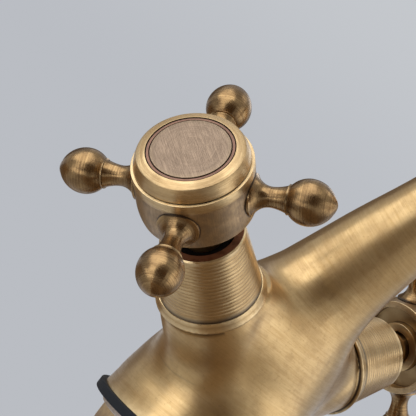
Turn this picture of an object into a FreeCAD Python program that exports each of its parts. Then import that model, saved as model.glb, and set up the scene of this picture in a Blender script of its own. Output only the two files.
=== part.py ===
import FreeCAD, Part
import math
import os
from types import SimpleNamespace

import Sketcher
from FreeCAD import Placement, Rotation, Vector

# Two-handle basin mixer for one tap hole: a cast body whose foot runs into a tapered spout, two tilted
# valve necks with ceramic cartridges, cross handles with turned arms, an aerator in the spout and the
# clamping set under the deck. Millimetres, +Z up, spout towards -Y, origin where the shank's axis
# meets the deck.

SIZES = {
    # clamping set below the body
    "gasket_radius": 26.2,
    "gasket_thickness": 2.4,
    "gasket_lip_width": 2.6,
    "gasket_lip_height": 0.6,
    "shank_radius": 16.5,
    "shank_bore_radius": 13.0,
    "shank_drop": 46.0,
    "shank_engagement": 9.8,
    "shank_chamfer": 1.0,
    "thread_pitch": 2.3,
    "thread_depth": 0.9,
    "washer_gap": 0.6,
    "washer_thickness": 2.3,
    "nut_radius": 21.8,
    "nut_height": 9.0,
    "nut_chamfer": 0.8,
    "nut_notch_width": 5.0,
    "nut_notch_depth": 2.0,
    "nut_notch_height": 4.0,
    # body casting
    "foot_radius": 24.8,
    "root_height": 45.0,
    "root_radius": 15.25,
    "taper_length": 61.0,
    "tube_radius": 8.6,
    "lean_start": 13.0,
    "lean_radius": 155.0,
    "lean_angle": 21.0,
    "rise_length": 39.0,
    "crook_radius": 45.0,
    "drop_angle": 165.0,
    "tail_length": 14.0,
    "swell_length": 34.0,
    "outlet_radius": 12.5,
    "waterway_radius": 5.0,
    "waterway_start": 42.0,
    "blend_radius": 6.0,
    "inlet_spacing": 13.0,
    "inlet_radius": 4.5,
    "inlet_depth": 8.5,
    "feed_radius": 3.2,
    # valve necks of the casting, along the valve axis from the point where both axes meet
    "valve_height": 17.9,
    "valve_tilt_angle": 59.6,
    "neck_start": 8.0,
    "neck_root_length": 5.0,
    "neck_root_radius": 15.0,
    "neck_radius": 12.1,
    "neck_throat_length": 2.5,
    "collar_distance": 36.4,
    "collar_height": 2.4,
    "collar_radius": 13.0,
    "collar_edge": 0.4,
    "collar_ledge": 0.2,
    "chamber_floor": 14.0,
    "chamber_radius": 8.3,
    # cartridge
    "cartridge_lift": 0.8,
    "cartridge_wall": 0.8,
    "cartridge_gap": 0.6,
    "seal_thickness": 3.0,
    "seal_bore_radius": 4.4,
    "disc_thickness": 3.5,
    "port_radius": 1.7,
    "port_circle": 4.0,
    "tang_width": 2.4,
    "tang_length": 8.0,
    "tang_depth": 1.5,
    "foot_height": 4.0,
    "foot_gap": 1.0,
    "stem_foot_gap": 0.7,
    "thrust_thickness": 0.8,
    "window_width": 7.0,
    "window_height": 5.0,
    "flange_thickness": 1.4,
    "hex_height": 4.2,
    "nose_thread_length": 6.0,
    "nose_gap": 0.7,
    "nose_length": 3.0,
    "stem_radius": 4.4,
    "ring_section_radius": 0.7,
    "clip_radius": 6.0,
    "clip_thickness": 0.8,
    "clip_groove_depth": 0.8,
    # ribbed bonnet sleeve
    "bonnet_height": 17.9,
    "bonnet_foot_radius": 12.0,
    "bonnet_top_radius": 9.7,
    "bonnet_foot_wall": 1.9,
    "bonnet_wall": 1.2,
    "bonnet_bore_radius": 7.6,
    "bonnet_lip_height": 2.2,
    "rib_depth": 0.25,
    "rib_margin": 1.3,
    # cross handle, along the valve axis from the plane of the arms
    "hub_gap": 8.0,
    "hub_drop": 6.0,
    "hub_foot_radius": 12.7,
    "hub_radius": 13.3,
    "hub_rise": 4.98,
    "hub_flange_radius": 13.45,
    "hub_flange_thickness": 2.3,
    "hub_flange_step": 0.2,
    "hub_wall": 1.6,
    "web_wall_below": 1.1,
    "web_wall_above": 0.5,
    "boss_radius": 6.7,
    "boss_drop": 5.1,
    "square_side": 6.1,
    "square_reach": 0.4,
    "square_start_gap": 1.6,
    "screw_radius": 2.0,
    "screw_head_radius": 3.6,
    "screw_head_height": 2.4,
    "screw_length": 12.0,
    "screw_slot_width": 0.9,
    "screw_slot_depth": 1.1,
    "cap_seam": 0.16,
    "cap_side_radius": 13.25,
    "cap_edge_radius": 12.0,
    "cap_side_height": 3.25,
    "cap_crown": 0.7,
    "cap_top_thickness": 1.4,
    "cap_skirt_radius": 10.5,
    "cap_skirt_gap": 0.3,
    "cap_skirt_wall": 1.6,
    "groove_radius": 9.8,
    "groove_width": 1.0,
    "index_thickness": 0.6,
    # turned arms, along each arm from the hub's side
    "stud_depth": 3.6,
    "stud_radius": 2.0,
    "stud_overlap": 1.0,
    "flare_bite": 1.8,
    "flare_gap": 0.23,
    "flare_lip": 1.7,
    "flare_length": 4.2,
    "waist_radius": 2.3,
    "waist_length": 3.3,
    "shoulder_root_radius": 3.1,
    "shoulder_radius": 3.4,
    "shoulder_width": 0.5,
    "ball_neck_radius": 3.3,
    "ball_back_length": 5.0,
    "ball_radius": 5.1,
    "ball_front_length": 5.5,
    "ball_tip_radius": 1.9,
    # aerator
    "aerator_depth": 9.0,
    "outlet_wall": 2.0,
    "aerator_wall": 1.7,
    "aerator_rim_inset": 0.5,
    "aerator_rim_height": 3.2,
    "aerator_lip_width": 0.8,
    "aerator_lip_height": 0.8,
    "aerator_seal_thickness": 1.2,
    "insert_height": 5.0,
    "insert_hole_radius": 0.95,
    "insert_ring_pitch": 2.75,
    "screen_thickness": 0.6,
    # clearances
    "running_clearance": 0.06,
    "thread_clearance": 0.08,
    "seat_clearance": 0.04,
    "overrun": 2.0,
}
LEFT_SPIN = 33.2
RIGHT_SPIN = 75.0
ARM_COUNT = 4
RIB_COUNT = 16
NOTCH_COUNT = 6
PORT_COUNT = 2
HEX_SIDES = 6
INSERT_RINGS = 3
FULL_TURN = 360
THIRD_TURN = FULL_TURN / 3
QUARTER_TURN = FULL_TURN / 4
HALF_SHARE = 0.5
CROOK_SECTIONS = 5
UPRIGHT = Rotation(Vector(1, 1, 1), THIRD_TURN)
SIDES = (("left", -1, LEFT_SPIN), ("right", 1, RIGHT_SPIN))

# Trunk sections from foot to root and from root to tube: share of the way up, share of the narrowing.
TRUNK_SHARES = ((0.0, 0.0), (0.17, 0.105), (0.384, 0.304), (0.645, 0.644), (1.0, 1.0))
TAPER_SHARES = ((0.21, 0.383), (0.42, 0.624), (0.68, 0.89), (1.0, 1.0))
SWELL_SHARES = ((0.0, 0.0), (0.3, 0.4), (0.6, 0.9), (1.0, 1.0))
HEX_FLAT_SHARE = 0.866

# Bends of the curved outlines, as the tangent of a quarter of the arc's angle.
NECK_BEND_SHARE = 0.16
HUB_BEND_SHARE = 0.1
CAP_BEND_SHARE = 0.1
FLARE_BEND_SHARE = 0.32
WAIST_BEND_SHARE = 0.08
BALL_BACK_BEND_SHARE = 0.25
BALL_FRONT_BEND_SHARE = 0.24
TIP_RISE_SHARE = 0.42
CREST_SHARE = 0.15
ROOT_SHARE = 0.575

doc = FreeCAD.newDocument("basin_mixer")


class Size:
    """A length of the object, with the sheet formula that drives it."""

    def __init__(self, value, formula):
        self.value = value
        self.formula = formula

    def __add__(self, other):
        return Size(self.value + other.value, f"({self.formula} + {other.formula})")

    def __sub__(self, other):
        return Size(self.value - other.value, f"({self.formula} - {other.formula})")

    def __mul__(self, share):
        return Size(self.value * share, f"({self.formula} * {share})")

    def __neg__(self):
        return Size(-self.value, f"(-{self.formula})")


def span(across, along):
    """Straight distance covered by two steps at right angles."""
    formula = f"sqrt({across.formula}^2 + {along.formula}^2)"
    return Size(math.hypot(across.value, along.value), formula)


def make_sheet():
    """Sheet of driving dimensions, one alias for each size."""
    sheet = doc.addObject("Spreadsheet::Sheet", "dims")
    for row, (alias, number) in enumerate(SIZES.items(), start=1):
        sheet.set(f"A{row}", alias)
        sheet.set(f"B{row}", str(number))
        sheet.setAlias(f"B{row}", alias)
    doc.recompute()
    return {alias: Size(float(sheet.get(alias)), f"dims.{alias}") for alias in SIZES}


def add_fits(sizes):
    """Sizes that follow from a neighbour by a wall, a gap or a clearance."""
    sizes.gasket_lip_bore = sizes.gasket_radius - sizes.gasket_lip_width
    sizes.washer_radius = sizes.gasket_lip_bore - sizes.washer_gap
    sizes.aerator_radius = sizes.outlet_radius - sizes.outlet_wall
    sizes.aerator_bore_radius = sizes.aerator_radius - sizes.aerator_wall
    sizes.aerator_rim_radius = sizes.outlet_radius - sizes.aerator_rim_inset
    sizes.disc_bore_radius = sizes.chamber_radius - sizes.cartridge_gap - sizes.cartridge_wall
    sizes.stem_foot_radius = sizes.disc_bore_radius - sizes.stem_foot_gap
    sizes.bonnet_foot_bore = sizes.bonnet_foot_radius - sizes.bonnet_foot_wall
    sizes.bonnet_inner_radius = sizes.bonnet_top_radius - sizes.bonnet_wall
    sizes.cartridge_flange_radius = sizes.bonnet_foot_bore - sizes.thread_clearance
    sizes.hex_flat_radius = sizes.cartridge_flange_radius * HEX_FLAT_SHARE
    sizes.nose_thread_radius = sizes.bonnet_inner_radius - sizes.thread_clearance
    sizes.nose_radius = sizes.bonnet_bore_radius - sizes.nose_gap
    sizes.disc_radius = sizes.groove_radius - sizes.groove_width
    sizes.stud_hole_radius = sizes.stud_radius + sizes.thread_clearance
    sizes.stud_start = sizes.hub_radius - sizes.stud_depth
    sizes.hub_web_below = sizes.stud_hole_radius + sizes.web_wall_below
    sizes.hub_web_above = sizes.stud_hole_radius + sizes.web_wall_above
    sizes.flare_radius = sizes.hub_rise - sizes.flare_gap
    return sizes


ZERO = Size(0.0, "0")
D = add_fits(SimpleNamespace(**make_sheet()))


def bind(thing, path, size):
    """Let the sheet drive one property of a feature."""
    thing.setExpression(path, size.formula)


def new_body(label, placement=Placement()):
    """Empty body for one sub-part."""
    body = doc.addObject("PartDesign::Body", label)
    body.Label = label
    body.Placement = placement
    return body


def origin_feature(body, role):
    """Origin plane or axis of a body, by its role."""
    return next(item for item in body.Origin.OriginFeatures if item.Role == role)


def new_sketch(body, name, placement):
    """Sketch on the body's base plane, moved to where it is drawn."""
    sketch = body.newObject("Sketcher::SketchObject", name)
    sketch.AttachmentSupport = [(origin_feature(body, "XY_Plane"), "")]
    sketch.MapMode = "FlatFace"
    sketch.AttachmentOffset = placement
    return sketch


def arc_between(start, end, bend):
    """Arc from one point to the next, counter-clockwise in the sketch."""
    middle = (start + end) * HALF_SHARE
    chord = end - start
    side = Vector(chord.y, -chord.x, 0) * (bend * HALF_SHARE)
    first, last = (start, end) if bend > 0 else (end, start)
    return Part.Arc(first, middle + side, last)


def draw_outline(sketch, points):
    """Closed outline through sized points; a third entry bends the edge that follows its point."""
    spots = [Vector(point[0].value, point[1].value, 0) for point in points]
    starts = []
    for index, point in enumerate(points):
        following = spots[(index + 1) % len(spots)]
        bend = point[2] if len(point) > 2 else 0
        if bend:
            sketch.addGeometry(arc_between(spots[index], following, bend))
        else:
            sketch.addGeometry(Part.LineSegment(spots[index], following))
        starts.append(2 if bend < 0 else 1)
    for index, point in enumerate(points):
        after = (index + 1) % len(points)
        end = 3 - starts[index]
        sketch.addConstraint(Sketcher.Constraint("Coincident", index, end, after, starts[after]))
    for index, point in enumerate(points):
        place_point(sketch, index, starts[index], point)
    for index, point in enumerate(points):
        if len(point) > 2 and point[2]:
            bend_edge(sketch, index, point, points[(index + 1) % len(points)])


def place_point(sketch, index, corner, point):
    """Tie one corner of an outline to its two sizes."""
    for kind, size, letter in (("DistanceX", point[0], "across"), ("DistanceY", point[1], "along")):
        name = f"{letter}{index}"
        number = sketch.addConstraint(Sketcher.Constraint(kind, -1, 1, index, corner, size.value))
        sketch.renameConstraint(number, name)
        bind(sketch, f"Constraints.{name}", size)


def bend_edge(sketch, index, point, following):
    """Tie an arc's radius to the distance between its ends."""
    bend = abs(point[2])
    chord = span(following[0] - point[0], following[1] - point[1])
    radius = chord * ((1 / bend + bend) / 4)
    number = sketch.addConstraint(Sketcher.Constraint("Radius", index, radius.value))
    sketch.renameConstraint(number, f"bend{index}")
    bind(sketch, f"Constraints.bend{index}", radius)


def draw_circle(sketch, radius, across=ZERO, along=ZERO):
    """Sized circle at a sized place."""
    spot = Vector(across.value, along.value, 0)
    index = sketch.addGeometry(Part.Circle(spot, Vector(0, 0, 1), radius.value))
    number = sketch.addConstraint(Sketcher.Constraint("Radius", index, radius.value))
    sketch.renameConstraint(number, "radius")
    bind(sketch, "Constraints.radius", radius)
    place_point(sketch, index, 3, (across, along))


def finished(body, feature, grows):
    """Rebuild, make the feature the body's tip and test that it changed the solid the right way."""
    before = body.Shape.Volume if body.Shape and not body.Shape.isNull() else 0
    body.Tip = feature
    doc.recompute()
    change = body.Shape.Volume - before
    if (change > 0) is not grows:
        raise RuntimeError(f"{feature.Name} of {body.Label} changed the volume by {change}")
    return feature


def turn(body, name, points, placement=Placement(), cut=False):
    """Turned form: the outline's first coordinate is a radius, its second runs along the axis."""
    sketch = new_sketch(body, f"{name}_outline", placement * Placement(Vector(), UPRIGHT))
    draw_outline(sketch, points)
    return spin_sketch(body, name, sketch, cut)


def spin_sketch(body, name, sketch, cut=False):
    """Full turn of a sketch about its upright axis, added to the body or cut from it."""
    doc.recompute()
    kind = "PartDesign::Groove" if cut else "PartDesign::Revolution"
    feature = body.newObject(kind, name)
    feature.Profile = sketch
    feature.ReferenceAxis = (sketch, ["V_Axis"])
    feature.Angle = FULL_TURN
    return finished(body, feature, not cut)


def sink(body, name, draw, height, depth):
    """Pocket downwards from a plane at a height, with an outline that draw puts in its sketch."""
    sketch = new_sketch(body, f"{name}_outline", Placement(Vector(0, 0, height.value), Rotation()))
    bind(sketch, "AttachmentOffset.Base.z", height)
    draw(sketch)
    doc.recompute()
    feature = body.newObject("PartDesign::Pocket", name)
    feature.Profile = sketch
    bind(feature, "Length", depth)
    return finished(body, feature, False)


def raise_pad(body, name, draw, height, thickness):
    """Pad upwards from a plane at a height."""
    sketch = new_sketch(body, f"{name}_outline", Placement(Vector(0, 0, height.value), Rotation()))
    bind(sketch, "AttachmentOffset.Base.z", height)
    draw(sketch)
    doc.recompute()
    feature = body.newObject("PartDesign::Pad", name)
    feature.Profile = sketch
    bind(feature, "Length", thickness)
    return finished(body, feature, True)


def repeat_round(body, name, feature, count, grows=False):
    """Copies of a feature around the body's own axis."""
    pattern = body.newObject("PartDesign::PolarPattern", name)
    pattern.Originals = [feature]
    pattern.Axis = (origin_feature(body, "Z_Axis"), [""])
    pattern.Angle = FULL_TURN
    pattern.Occurrences = count
    return finished(body, pattern, grows)


def rectangle(width, length):
    """Drawer of a centred rectangle."""
    half_width = width * HALF_SHARE
    half_length = length * HALF_SHARE
    corners = ((-half_width, -half_length), (half_width, -half_length),
               (half_width, half_length), (-half_width, half_length))
    return lambda sketch: draw_outline(sketch, corners)


def side_cut(reach, width):
    """Drawer of a rectangle that takes off everything beyond a distance from the axis, over a width."""
    half = width * HALF_SHARE
    outer = reach * 2 + D.overrun
    corners = ((reach, -half), (outer, -half), (outer, half), (reach, half))
    return lambda sketch: draw_outline(sketch, corners)


def ring(inner, outer, low, high):
    """Outline of a plain ring between two heights."""
    return ((inner, low), (outer, low), (outer, high), (inner, high))


def valve_placement(side, spin=0):
    """Frame of a valve: its axis tilted to one side, turned about itself by the handle's spin."""
    tilt = Rotation(Vector(0, side, 0), D.valve_tilt_angle.value)
    return Placement(Vector(0, 0, D.valve_height.value), tilt * Rotation(Vector(0, 0, 1), spin))


def spout_centre(length):
    """Point on the spout's centreline and its lean from upright, at a length from the deck."""
    lean = math.radians(D.lean_angle.value)
    drop = math.radians(D.drop_angle.value)
    runs = ((D.lean_start.value, 0, 0), (D.lean_radius.value * lean, 0, lean),
            (D.rise_length.value, lean, lean), (D.crook_radius.value * (drop - lean), lean, drop),
            (math.inf, drop, drop))
    spot = Vector()
    for run, first, last in runs:
        step = min(length, run)
        turned = first + (last - first) * step / run
        if last > first:
            radius = run / (last - first)
            ahead = radius * (math.cos(first) - math.cos(turned))
            up = radius * (math.sin(turned) - math.sin(first))
        else:
            ahead = step * math.sin(first)
            up = step * math.cos(first)
        spot += Vector(0, -ahead, up)
        length -= step
        if length <= 0:
            break
    return spot, math.degrees(turned)


def spout_length():
    """Length of the spout's centreline from the deck to the outlet."""
    turning = math.radians(D.drop_angle.value - D.lean_angle.value) * D.crook_radius.value
    leaning = math.radians(D.lean_angle.value) * D.lean_radius.value
    return D.lean_start.value + leaning + D.rise_length.value + turning + D.tail_length.value


def spout_placement(length):
    """Frame on the spout's centreline, Z along the flow and X to the back."""
    spot, lean = spout_centre(length)
    return Placement(spot, Rotation(Vector(1, 0, 0), lean) * Rotation(Vector(0, 0, 1), QUARTER_TURN))


def trunk_sections():
    """Length along the centreline and radius of each section, from foot to outlet."""
    foot = D.gasket_thickness
    end = spout_length()
    swell_start = end - D.swell_length.value
    taper_end = D.root_height.value + D.taper_length.value
    sections = []
    for place_share, narrow_share in TRUNK_SHARES:
        place = foot.value + (D.root_height.value - foot.value) * place_share
        sections.append((place, D.foot_radius - (D.foot_radius - D.root_radius) * narrow_share))
    for place_share, narrow_share in TAPER_SHARES:
        place = D.root_height.value + D.taper_length.value * place_share
        sections.append((place, D.root_radius - (D.root_radius - D.tube_radius) * narrow_share))
    for step in range(1, CROOK_SECTIONS):
        sections.append((taper_end + (swell_start - taper_end) * step / CROOK_SECTIONS, D.tube_radius))
    for place_share, grow_share in SWELL_SHARES:
        place = swell_start + D.swell_length.value * place_share
        sections.append((place, D.tube_radius + (D.outlet_radius - D.tube_radius) * grow_share))
    return sections


def neck_outline():
    """Half outline of a valve neck with its turned collar."""
    root_end = D.neck_start + D.neck_root_length
    throat = D.collar_distance - D.neck_throat_length
    top = D.collar_distance + D.collar_height
    return ((ZERO, D.neck_start), (D.neck_root_radius, D.neck_start),
            (D.neck_root_radius, root_end, -NECK_BEND_SHARE), (D.neck_radius, throat),
            (D.neck_radius, D.collar_distance), (D.collar_radius, D.collar_distance),
            (D.collar_radius, D.collar_distance + D.collar_edge),
            (D.bonnet_foot_radius + D.collar_ledge, top), (ZERO, top))


def blend_edges(shape):
    """Names of the edges where a turned neck leaves the lofted trunk."""
    names = []
    for number, edge in enumerate(shape.Edges, start=1):
        kinds = {type(face.Surface).__name__ for face in shape.ancestorsOfType(edge, Part.Face)}
        if "BSplineSurface" in kinds and len(kinds) > 1 and "Plane" not in kinds:
            names.append(f"Edge{number}")
    return names


def chamber_outline():
    """Half outline of the cartridge's chamber and the feed hole below it."""
    mouth = D.collar_distance + D.collar_height + D.overrun
    return ((ZERO, D.neck_start), (D.feed_radius, D.neck_start), (D.feed_radius, D.chamber_floor),
            (D.chamber_radius, D.chamber_floor), (D.chamber_radius, mouth), (ZERO, mouth))


def drill_towards(body, name, start, end, radius):
    """Round passage between two points."""
    course = end - start
    length = Size(course.Length, str(course.Length))
    turned = Placement(start, Rotation(Vector(0, 0, 1), course))
    outline = ((ZERO, ZERO), (radius, ZERO), (radius, length), (ZERO, length))
    return turn(body, name, outline, turned, cut=True)


def make_body_casting():
    """Cast body: foot, trunk and spout in one sweep, two valve necks and the water passages."""
    body = new_body("body_casting")
    add_trunk(body)
    for word, side, _ in SIDES:
        turn(body, f"{word}_neck", neck_outline(), valve_placement(side))
    necks = body.Tip
    fillet = body.newObject("PartDesign::Fillet", "neck_blend")
    fillet.Base = (necks, blend_edges(necks.Shape))
    bind(fillet, "Radius", D.blend_radius)
    finished(body, fillet, True)
    cut_base(body)
    cut_outlet(body)
    cut_waterways(body)
    return body


def add_trunk(body):
    """Trunk and spout through round sections on the centreline."""
    sketches = []
    for number, (length, radius) in enumerate(trunk_sections()):
        sketch = new_sketch(body, f"section_{number}", spout_placement(length))
        draw_circle(sketch, radius)
        sketches.append(sketch)
    doc.recompute()
    loft = body.newObject("PartDesign::AdditiveLoft", "trunk")
    loft.Profile = sketches[0]
    loft.Sections = sketches[1:]
    finished(body, loft, True)


def cut_base(body):
    """Socket for the shank and two threaded inlets in its ceiling."""
    low = D.gasket_thickness - D.overrun
    ceiling = D.gasket_thickness + D.shank_engagement + D.seat_clearance
    socket = D.shank_radius + D.thread_clearance
    turn(body, "shank_socket", ((ZERO, low), (socket, low), (socket, ceiling), (ZERO, ceiling)), cut=True)
    inlet_top = ceiling + D.inlet_depth
    outline = ((ZERO, ceiling - D.overrun), (D.inlet_radius, ceiling - D.overrun),
               (D.inlet_radius, inlet_top), (ZERO, inlet_top))
    for word, side, _ in SIDES:
        place = Placement(Vector(side * D.inlet_spacing.value * HALF_SHARE, 0, 0), Rotation())
        turn(body, f"{word}_inlet", outline, place, cut=True)


def cut_outlet(body):
    """Bore for the aerator in the spout's end."""
    bore = D.aerator_radius + D.thread_clearance
    floor = -(D.aerator_depth + D.aerator_seal_thickness + D.seat_clearance)
    outline = ((ZERO, floor), (bore, floor), (bore, D.overrun), (ZERO, D.overrun))
    turn(body, "outlet_bore", outline, spout_placement(spout_length()), cut=True)


def cut_waterways(body):
    """Cartridge chambers, their passages to the middle of the trunk and the spout's waterway."""
    meeting, _ = spout_centre(D.waterway_start.value)
    for word, side, _ in SIDES:
        frame = valve_placement(side)
        turn(body, f"{word}_chamber", chamber_outline(), frame, cut=True)
        start = frame.multVec(Vector(0, 0, cartridge_levels().moving_top.value))
        drill_towards(body, f"{word}_passage", start, meeting, D.feed_radius)
    sections = []
    count = len(trunk_sections())
    end = spout_length() - D.aerator_depth.value
    for number in range(count):
        length = D.waterway_start.value + (end - D.waterway_start.value) * number / (count - 1)
        sketch = new_sketch(body, f"waterway_{number}", spout_placement(length))
        draw_circle(sketch, D.waterway_radius)
        sections.append(sketch)
    doc.recompute()
    loft = body.newObject("PartDesign::SubtractiveLoft", "waterway")
    loft.Profile = sections[0]
    loft.Sections = sections[1:]
    finished(body, loft, False)


def make_clamping_set():
    """Rubber gasket, hollow threaded shank, clamp washer and round back nut."""
    gasket = new_body("base_gasket")
    bore = D.shank_radius + D.thread_clearance
    lip = D.gasket_lip_bore
    turn(gasket, "ring", ((bore, D.gasket_lip_height), (lip, D.gasket_lip_height), (lip, ZERO),
                          (D.gasket_radius, ZERO), (D.gasket_radius, D.gasket_thickness),
                          (bore, D.gasket_thickness)))
    make_shank()
    washer = new_body("clamp_washer")
    washer_low = D.gasket_lip_height - D.washer_thickness
    turn(washer, "ring", ring(bore, D.washer_radius, washer_low, D.gasket_lip_height))
    make_back_nut(washer_low)


def make_shank():
    """Hollow shank, plain in the body's socket and ridged by its thread below."""
    shank = new_body("threaded_shank")
    low = -D.shank_drop
    thread_low = low + D.shank_chamfer
    top = D.gasket_thickness + D.shank_engagement
    bevel = D.shank_radius - D.shank_chamfer
    outline = [(D.shank_bore_radius, low), (bevel, low), (D.shank_radius, thread_low)]
    outline += thread_corners(thread_low)
    outline += [(D.shank_radius, top), (D.shank_bore_radius, top)]
    turn(shank, "tube", outline)


def thread_corners(low):
    """Crests and roots of the shank's thread, as many as fit below the deck."""
    length = D.shank_drop - D.shank_chamfer * 2
    corners = []
    for number in range(int(length.value / D.thread_pitch.value)):
        foot = low + D.thread_pitch * number
        corners += [(D.shank_radius, foot + D.thread_pitch * CREST_SHARE),
                    (D.shank_radius - D.thread_depth, foot + D.thread_pitch * ROOT_SHARE),
                    (D.shank_radius, foot + D.thread_pitch)]
    return corners


def make_back_nut(top):
    """Round nut with spanner notches in its lower edge."""
    nut = new_body("back_nut")
    low = top - D.nut_height
    bore = D.shank_radius + D.running_clearance
    bevel = D.nut_radius - D.nut_chamfer
    turn(nut, "ring", ((bore, low), (bevel, low), (D.nut_radius, low + D.nut_chamfer),
                       (D.nut_radius, top - D.nut_chamfer), (bevel, top), (bore, top)))
    slot = side_cut(D.nut_radius - D.nut_notch_depth, D.nut_notch_width)
    notch = sink(nut, "notch", slot, low + D.nut_notch_height, D.nut_notch_height + D.overrun)
    repeat_round(nut, "notches", notch, NOTCH_COUNT)


def make_aerator():
    """Screw-in aerator: housing with a rim, pierced insert, screen and seal."""
    frame = spout_placement(spout_length())
    housing = new_body("aerator_housing", frame)
    lip_bore = D.aerator_bore_radius - D.aerator_lip_width
    lip_low = D.aerator_rim_height - D.aerator_lip_height
    turn(housing, "sleeve", ((D.aerator_bore_radius, -D.aerator_depth), (D.aerator_radius, -D.aerator_depth),
                             (D.aerator_radius, ZERO), (D.aerator_rim_radius, ZERO),
                             (D.aerator_rim_radius, D.aerator_rim_height), (lip_bore, D.aerator_rim_height),
                             (lip_bore, lip_low), (D.aerator_bore_radius, lip_low)))
    insert_radius = D.aerator_bore_radius - D.running_clearance
    insert_low = lip_low - D.insert_height
    make_pierced_disc("aerator_insert", frame, insert_radius, insert_low, D.insert_height)
    screen_low = insert_low - D.screen_thickness
    make_pierced_disc("aerator_screen", frame, insert_radius, screen_low, D.screen_thickness)
    seal = new_body("aerator_seal", frame)
    seal_low = -(D.aerator_depth + D.aerator_seal_thickness)
    turn(seal, "ring", ring(D.waterway_radius, D.aerator_radius, seal_low, -D.aerator_depth))


def make_pierced_disc(label, frame, radius, low, thickness):
    """Disc with rings of small holes."""
    disc = new_body(label, frame)
    top = low + thickness
    turn(disc, "disc", ((ZERO, low), (radius, low), (radius, top), (ZERO, top)))
    depth = thickness + D.overrun
    sink(disc, "middle_hole", lambda sketch: draw_circle(sketch, D.insert_hole_radius), top, depth)
    for number in range(1, INSERT_RINGS + 1):
        circle = D.insert_ring_pitch * number
        if circle.value + D.insert_hole_radius.value >= radius.value:
            break
        hole = sink(disc, f"hole_{number}", lambda sketch: draw_circle(sketch, D.insert_hole_radius, circle),
                    top, depth)
        repeat_round(disc, f"holes_{number}", hole, HEX_SIDES * number)


def cartridge_levels():
    """Heights of the cartridge's stack along the valve axis."""
    seal_top = D.chamber_floor + D.seal_thickness
    fixed_top = seal_top + D.disc_thickness
    moving_top = fixed_top + D.disc_thickness
    foot_low = moving_top + D.foot_gap
    foot_top = foot_low + D.foot_height
    thrust_top = foot_top + D.thrust_thickness
    collar_top = D.collar_distance + D.collar_height
    flange_top = collar_top + D.flange_thickness
    hex_top = flange_top + D.hex_height
    thread_top = hex_top + D.nose_thread_length
    nose_top = thread_top + D.nose_length
    bonnet_top = collar_top + D.bonnet_height
    arm_plane = bonnet_top + D.hub_gap + D.hub_drop
    return SimpleNamespace(**locals())


def make_cartridge(word, side, spin):
    """Fixed pieces of one ceramic cartridge, its ports a quarter turn from those of the closed disc."""
    level = cartridge_levels()
    frame = valve_placement(side, spin)
    make_cartridge_housing(word, frame, level)
    seal = new_body(f"{word}_seat_seal", frame)
    disc_radius = D.disc_bore_radius - D.running_clearance
    turn(seal, "ring", ring(D.seal_bore_radius, disc_radius, D.chamber_floor, level.seal_top))
    fixed = new_body(f"{word}_fixed_disc", frame)
    turn(fixed, "disc", ((ZERO, level.seal_top), (disc_radius, level.seal_top),
                         (disc_radius, level.fixed_top), (ZERO, level.fixed_top)))
    port = sink(fixed, "port", lambda sketch: draw_circle(sketch, D.port_radius, ZERO, D.port_circle),
                level.fixed_top, D.disc_thickness + D.overrun)
    repeat_round(fixed, "ports", port, PORT_COUNT)
    o_ring = new_body(f"{word}_cartridge_o_ring", frame)
    draw_o_ring(o_ring, D.chamber_radius - D.ring_section_radius - D.running_clearance,
                level.collar_top - D.flange_thickness)


def draw_o_ring(body, radius, place):
    """Round-section ring of a radius at a place along the axis."""
    sketch = new_sketch(body, "section", Placement(Vector(), UPRIGHT))
    draw_circle(sketch, D.ring_section_radius, radius, place)
    spin_sketch(body, "ring", sketch)


def make_cartridge_housing(word, frame, level):
    """Brass cartridge housing: disc bore, side windows, flange, hexagon and threaded nose."""
    housing = new_body(f"{word}_cartridge_housing", frame)
    low = D.chamber_floor + D.cartridge_lift
    skirt = D.disc_bore_radius + D.cartridge_wall
    thread = D.chamber_radius - D.thread_clearance
    stem_bore = D.stem_radius + D.running_clearance
    groove = level.collar_top - D.flange_thickness
    groove_half = D.ring_section_radius + D.running_clearance
    groove_floor = D.chamber_radius - D.ring_section_radius * 2 - D.running_clearance * 2
    turn(housing, "barrel", (
        (D.disc_bore_radius, low), (skirt, low), (skirt, level.thrust_top), (thread, level.thrust_top),
        (thread, groove - groove_half), (groove_floor, groove - groove_half),
        (groove_floor, groove + groove_half), (thread, groove + groove_half), (thread, level.collar_top),
        (D.cartridge_flange_radius, level.collar_top),
        (D.cartridge_flange_radius, level.hex_top), (D.nose_thread_radius, level.hex_top),
        (D.nose_thread_radius, level.thread_top), (D.nose_radius, level.thread_top),
        (D.nose_radius, level.nose_top), (stem_bore, level.nose_top), (stem_bore, level.thrust_top),
        (D.disc_bore_radius, level.thrust_top)))
    window_top = level.moving_top + D.window_height
    sink(housing, "windows", rectangle(D.window_width, D.chamber_radius * 2), window_top, D.window_height)
    flat = side_cut(D.hex_flat_radius, D.cartridge_flange_radius * 2)
    first_flat = sink(housing, "flat", flat, level.hex_top, D.hex_height)
    repeat_round(housing, "hexagon", first_flat, HEX_SIDES)


def make_bonnet(word, side):
    """Tapered sleeve with turned ribs over the cartridge's hexagon."""
    level = cartridge_levels()
    sleeve = new_body(f"{word}_bonnet_sleeve", valve_placement(side))
    inner = D.bonnet_inner_radius
    lip_low = level.bonnet_top - D.bonnet_lip_height
    step = level.hex_top + D.seat_clearance
    outline = [(D.bonnet_bore_radius, lip_low), (inner, lip_low), (inner, step), (D.bonnet_foot_bore, step),
               (D.bonnet_foot_bore, level.collar_top), (D.bonnet_foot_radius, level.collar_top)]
    outline += rib_corners(level.collar_top)
    outline += [(D.bonnet_top_radius, level.bonnet_top), (D.bonnet_bore_radius, level.bonnet_top)]
    turn(sleeve, "sleeve", outline)


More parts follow.
